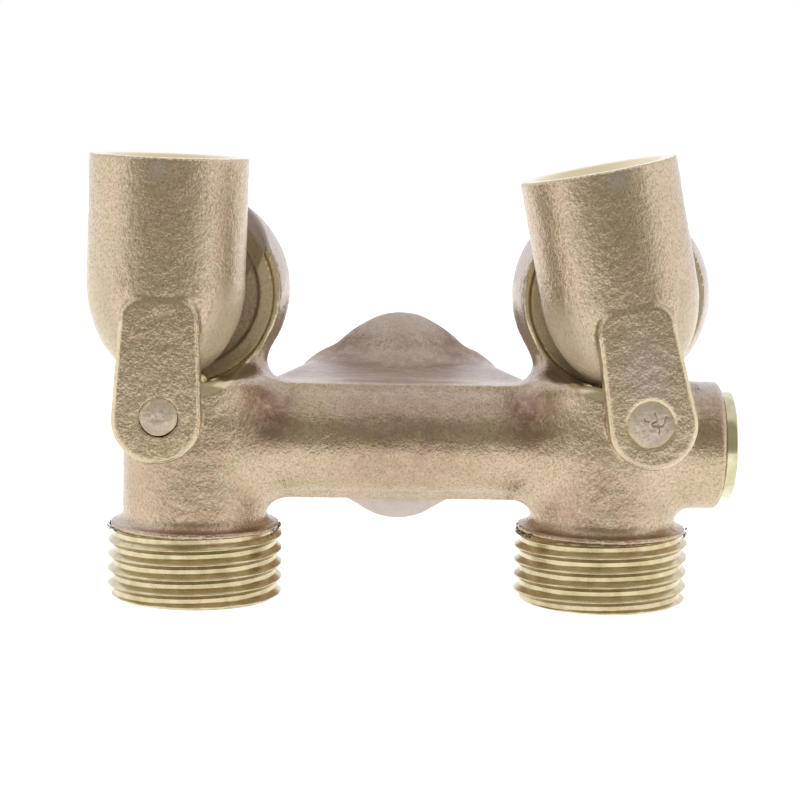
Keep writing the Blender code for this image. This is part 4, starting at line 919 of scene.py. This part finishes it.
lever_brass = cast_brass("lever_brass")
for label, sign in (("left", -1), ("right", 1)):
    def shape(x, y, z):
        return lever_field(x, y, z, sign, EYE_MOUTH[label])

    points, faces = skin_of(shape, LEVER_LOW, LEVER_HIGH, LEVER_GRID)
    x, y, z = points.T
    bored = np.hypot(x, y - CUP_AXIS) < SOCKET_RADIUS + MOUTH_CHAMFER + 0.3
    faced = (z > CUP_TOP - 0.15) | (bored & (z > SOCKET_FLOOR - 0.3))
    right, in_front, from_eye = label == "right", y < ARM_FRONT + 0.8, np.hypot(x, z) - EYE_MOUTH[label]
    ring = BRIGHT_EDGE * fade(np.abs(from_eye - 0.1), 0.56, 0.16) * in_front * right
    # Painted highlight along the arm's cast edges, given with the machined faces
    edge = BRIGHT_EDGE * fade(np.abs(arm_outline(x, z, sign) + 0.2), 0.45, 0.15)
    edge = edge * (y < ARM_FRONT + 1.2) * (z < ARM_TOP - 3.5)
    worn = WORN_ARM * np.exp(-(((x - 0.6) / 3.4) ** 2 + ((z - 7.5) / 6.0) ** 2))
    worn = worn * (y < ARM_FRONT + 0.3) * right
    # Painted highlight, pale lilac-grey, near the top of the cup's front
    worn_cup = CUP_HIGHLIGHT * np.exp(-((x - sign) / 1.3) ** 2 - ((z - 35.8) / 1.4) ** 2) * (y < -13.0)
    # Painted shade in and round the left eye's countersink
    shadow = DARK_EYE * fade(from_eye, 0.4, 0.0) * in_front * (not right)
    nose = fade(z, NOSE_RISE + 2.0, NOSE_RISE - 2.0) * (y > ARM_BACK - 0.5)
    lumps = 0.05 * sand_lumps(points + 40.0 * sign, 2.0) + 0.02 * sand_lumps(points, 0.8)
    lumps = lumps * (1 - strongest(faced, ring, edge))
    points = points + outwards(points, faces) * lumps[:, None]
    lean = np.array(Matrix.Rotation(-sign * TILT[label], 3, "Y"))
    place = np.array((sign * PIN_X, 0.0, PIN_HEIGHT))
    lever = mesh_piece(f"{label}_lever_cast", points @ lean.T + place, faces, lever_brass)
    painted(lever, machined=strongest(faced, BRIGHT_NOSE * nose, ring, edge), worn=np.maximum(worn, worn_cup),
            dull=nose, stain=shadow)
    fitted(lever, f"{label}_lever", "lever_brass", f"{label}_lever", crisp=60)

# Hinge pins: brass rivets in the casting's pads, peened over in the levers' eyes. The left head is a small
# rough dome, the right one is hammered flat and has cracked.
PIN_SHANK, PIN_END, PIN_FACE, PIN_STEPS = 2.5, -6.85, -16.15, 120
PIN_HEAD, PIN_CROWN = {"left": 2.5, "right": 3.15}, {"left": 0.45, "right": 0.3}
PIN_LIFT, PIN_RINGS, PIN_NECK = {"left": 0.1, "right": 0.0}, 26, 0.9
CRACKS = {"left": (), "right": ((1.0, 0.0, 2.0), (2.2, 0.5, 1.5), (-0.5, 0.0, 1.7), (0.2, 0.9, 2.6))}
CRACK_WIDTH, CRACK_DEPTH, DENT_DEPTH, OUT_OF_ROUND = 0.13, 0.22, 0.08, 0.03
CRESCENT = {"left": math.radians(-100), "right": math.radians(-35)}
PIN_SKIRT, PIN_SKIRT_SINK = {"left": 2.75, "right": 3.45}, 0.05
pin_brass = cast_brass("rivet_brass")
for label, sign in (("left", -1), ("right", 1)):
    head, crown = PIN_HEAD[label], PIN_CROWN[label]
    rings = [head * (1 - i / PIN_RINGS) for i in range(PIN_RINGS)]
    dome = [(r, -PIN_FACE + crown * (1 - (r / head) ** 4)) for r in rings]
    profile = [(0.0, -PIN_END), (0.1, -PIN_END), (PIN_SHANK, -PIN_END), (PIN_SHANK, -PIN_FACE - PIN_NECK)]
    profile += [(PIN_SKIRT[label], -PIN_FACE - PIN_SKIRT_SINK), *dome, (0.0, -PIN_FACE + crown)]
    points, faces = turned(profile, PIN_STEPS)
    across, turns = np.hypot(points[:, 0], points[:, 1]), np.arctan2(points[:, 1], points[:, 0])
    on_head = points[:, 2] > -PIN_FACE - 0.1
    crack = np.zeros(len(points))
    for heading, start, end in CRACKS[label]:
        wander = heading + 0.35 * np.sin(3.1 * across + 2 * heading)
        off = across * np.abs(np.sin((turns - wander) / 2)) * 2
        crack = np.maximum(crack, np.exp(-(off / CRACK_WIDTH) ** 2) * (across > start) * (across < end))
    dents = DENT_DEPTH * sand_lumps(points + 9.0 * sign, 1.1) - CRACK_DEPTH * crack
    points[:, 2] += on_head * dents
    uneven = OUT_OF_ROUND * sand_lumps(points * (1, 1, 0) + 5.0, 1.8)
    points[:, :2] *= (1 + on_head * uneven)[:, None]
    place = np.array((sign * PIN_X, 0.0, PIN_HEIGHT + PIN_LIFT[label]))
    points = points @ np.array(Matrix.Rotation(math.pi / 2, 3, "X")).T + place
    pin = facing_out(mesh_piece(f"{label}_rivet", points, faces, pin_brass))
    # Painted highlight round each head's rim, and painted shade in a crescent on one side of each head and on
    # the skirt in the eye's gap; the cracks are real
    rim = fade(across, head - 0.5, head - 0.1) * on_head
    crescent = fade(across, 0.62 * head, 0.62 * head + 0.5) * fade(np.cos(turns - CRESCENT[label]), 0.3, 0.8)
    skirt = (across > head - 0.02) & ~on_head
    stain = np.minimum(1.0, 1.2 * crack + 0.6 * crescent * on_head + 0.2 * skirt)
    painted(pin, machined=0.25 * rim, dull=0.8 * on_head, worn=0.3 * on_head * (1 - rim), stain=stain)
    fitted(pin, "manifold", "rivet_brass", f"{label}_hinge_pin", crisp=70)

# Floor, light and camera: a pale floor in a white tent that is open, and so darker, towards the camera. The
# background is plain white, as the tent's wall.
FLOOR = ((-1.6, -0.16, 0), (1.6, -0.16, 0), (1.6, 1.6, 0), (-1.6, 1.6, 0))
TENT_WHITE, TENT_BACK, TENT_OPENING = (1.30, 1.29, 1.27, 1), (1.14, 1.17, 1.29, 1), (0.42, 0.395, 0.32, 1)
TENT_TOP, TENT_WALL, BACK_HEADING = (0.95, 0.93, 0.95, 1), (1.0, 1.0, 1.0, 1), (0.0, 0.7, 0.714)
FLOOR_GREY, FLOOR_WHITE, FLOOR_GLOW, FLOOR_MATT = (0.35, 0.35, 0.35, 1), (1.0, 0.99, 0.97, 1), 1.1, 0.9
OPENING_HEIGHT, OPENING_INNER, OPENING_OUTER = math.radians(6), math.radians(50), math.radians(62)
floor_mesh = bpy.data.meshes.new("floor")
floor_mesh.from_pydata(FLOOR, [], [(0, 1, 2, 3)])
floor = in_scene("floor", floor_mesh)
pale, tree, shader = new_material("pale_floor", 0.0)
for socket, value in (("Base Color", FLOOR_GREY), ("Emission Color", FLOOR_WHITE),
                      ("Emission Strength", FLOOR_GLOW), ("Roughness", FLOOR_MATT)):
    shader.inputs[socket].default_value = value
floor_mesh.materials.append(pale)
floor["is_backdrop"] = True

tent = bpy.data.worlds.new("tent")
bpy.context.scene.world = tent
tent.use_nodes = True
tree = tent.node_tree
heading = add_node(tree, "ShaderNodeTexCoord", {}).outputs["Generated"]
opening = (0.0, -math.cos(OPENING_HEIGHT), math.sin(OPENING_HEIGHT))
facing, behind = (
    add_node(tree, "ShaderNodeVectorMath", {0: heading, 1: way}, operation="DOT_PRODUCT").outputs["Value"]
    for way in (opening, BACK_HEADING))
light = blend(tree, ramp(tree, behind, 0.2, 0.9), TENT_WHITE, TENT_BACK)
upward = add_node(tree, "ShaderNodeSeparateXYZ", {0: heading}).outputs[2]
light = blend(tree, ramp(tree, upward, 0.6, 1.0), light, TENT_TOP)
light = blend(tree, ramp(tree, facing, math.cos(OPENING_OUTER), math.cos(OPENING_INNER)), light, TENT_OPENING)
seen = add_node(tree, "ShaderNodeLightPath", {}).outputs["Is Camera Ray"]
tree.links.new(blend(tree, seen, light, TENT_WALL), tree.nodes["Background"].inputs["Color"])

YAW, PITCH, ROLL = math.radians(2.567), math.radians(7.405), math.radians(1.194)
DISTANCE, FOCAL_PIXELS, LOOK_X, LOOK_Z, IMAGE = 370.647, 2443.6, -0.208, 30.305, 800
lens = bpy.data.cameras.new("camera")
lens.sensor_width = 36.0
lens.lens = FOCAL_PIXELS / IMAGE * lens.sensor_width
lens.clip_start, lens.clip_end = 0.01, 20.0
camera = in_scene("camera", lens)
turn = Matrix.Rotation(-YAW, 4, "Z")
spot = turn @ Vector((LOOK_X, -DISTANCE * math.cos(PITCH), LOOK_Z + DISTANCE * math.sin(PITCH)))
spot = (spot - Vector(MIDDLE)) / 1000
camera.matrix_world = (Matrix.Translation(spot) @ turn @ Matrix.Rotation(math.pi / 2 - PITCH, 4, "X")
                       @ Matrix.Rotation(ROLL, 4, "Z"))
bpy.context.scene.camera = camera
bpy.context.scene.view_settings.view_transform = "Standard"

low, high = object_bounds()
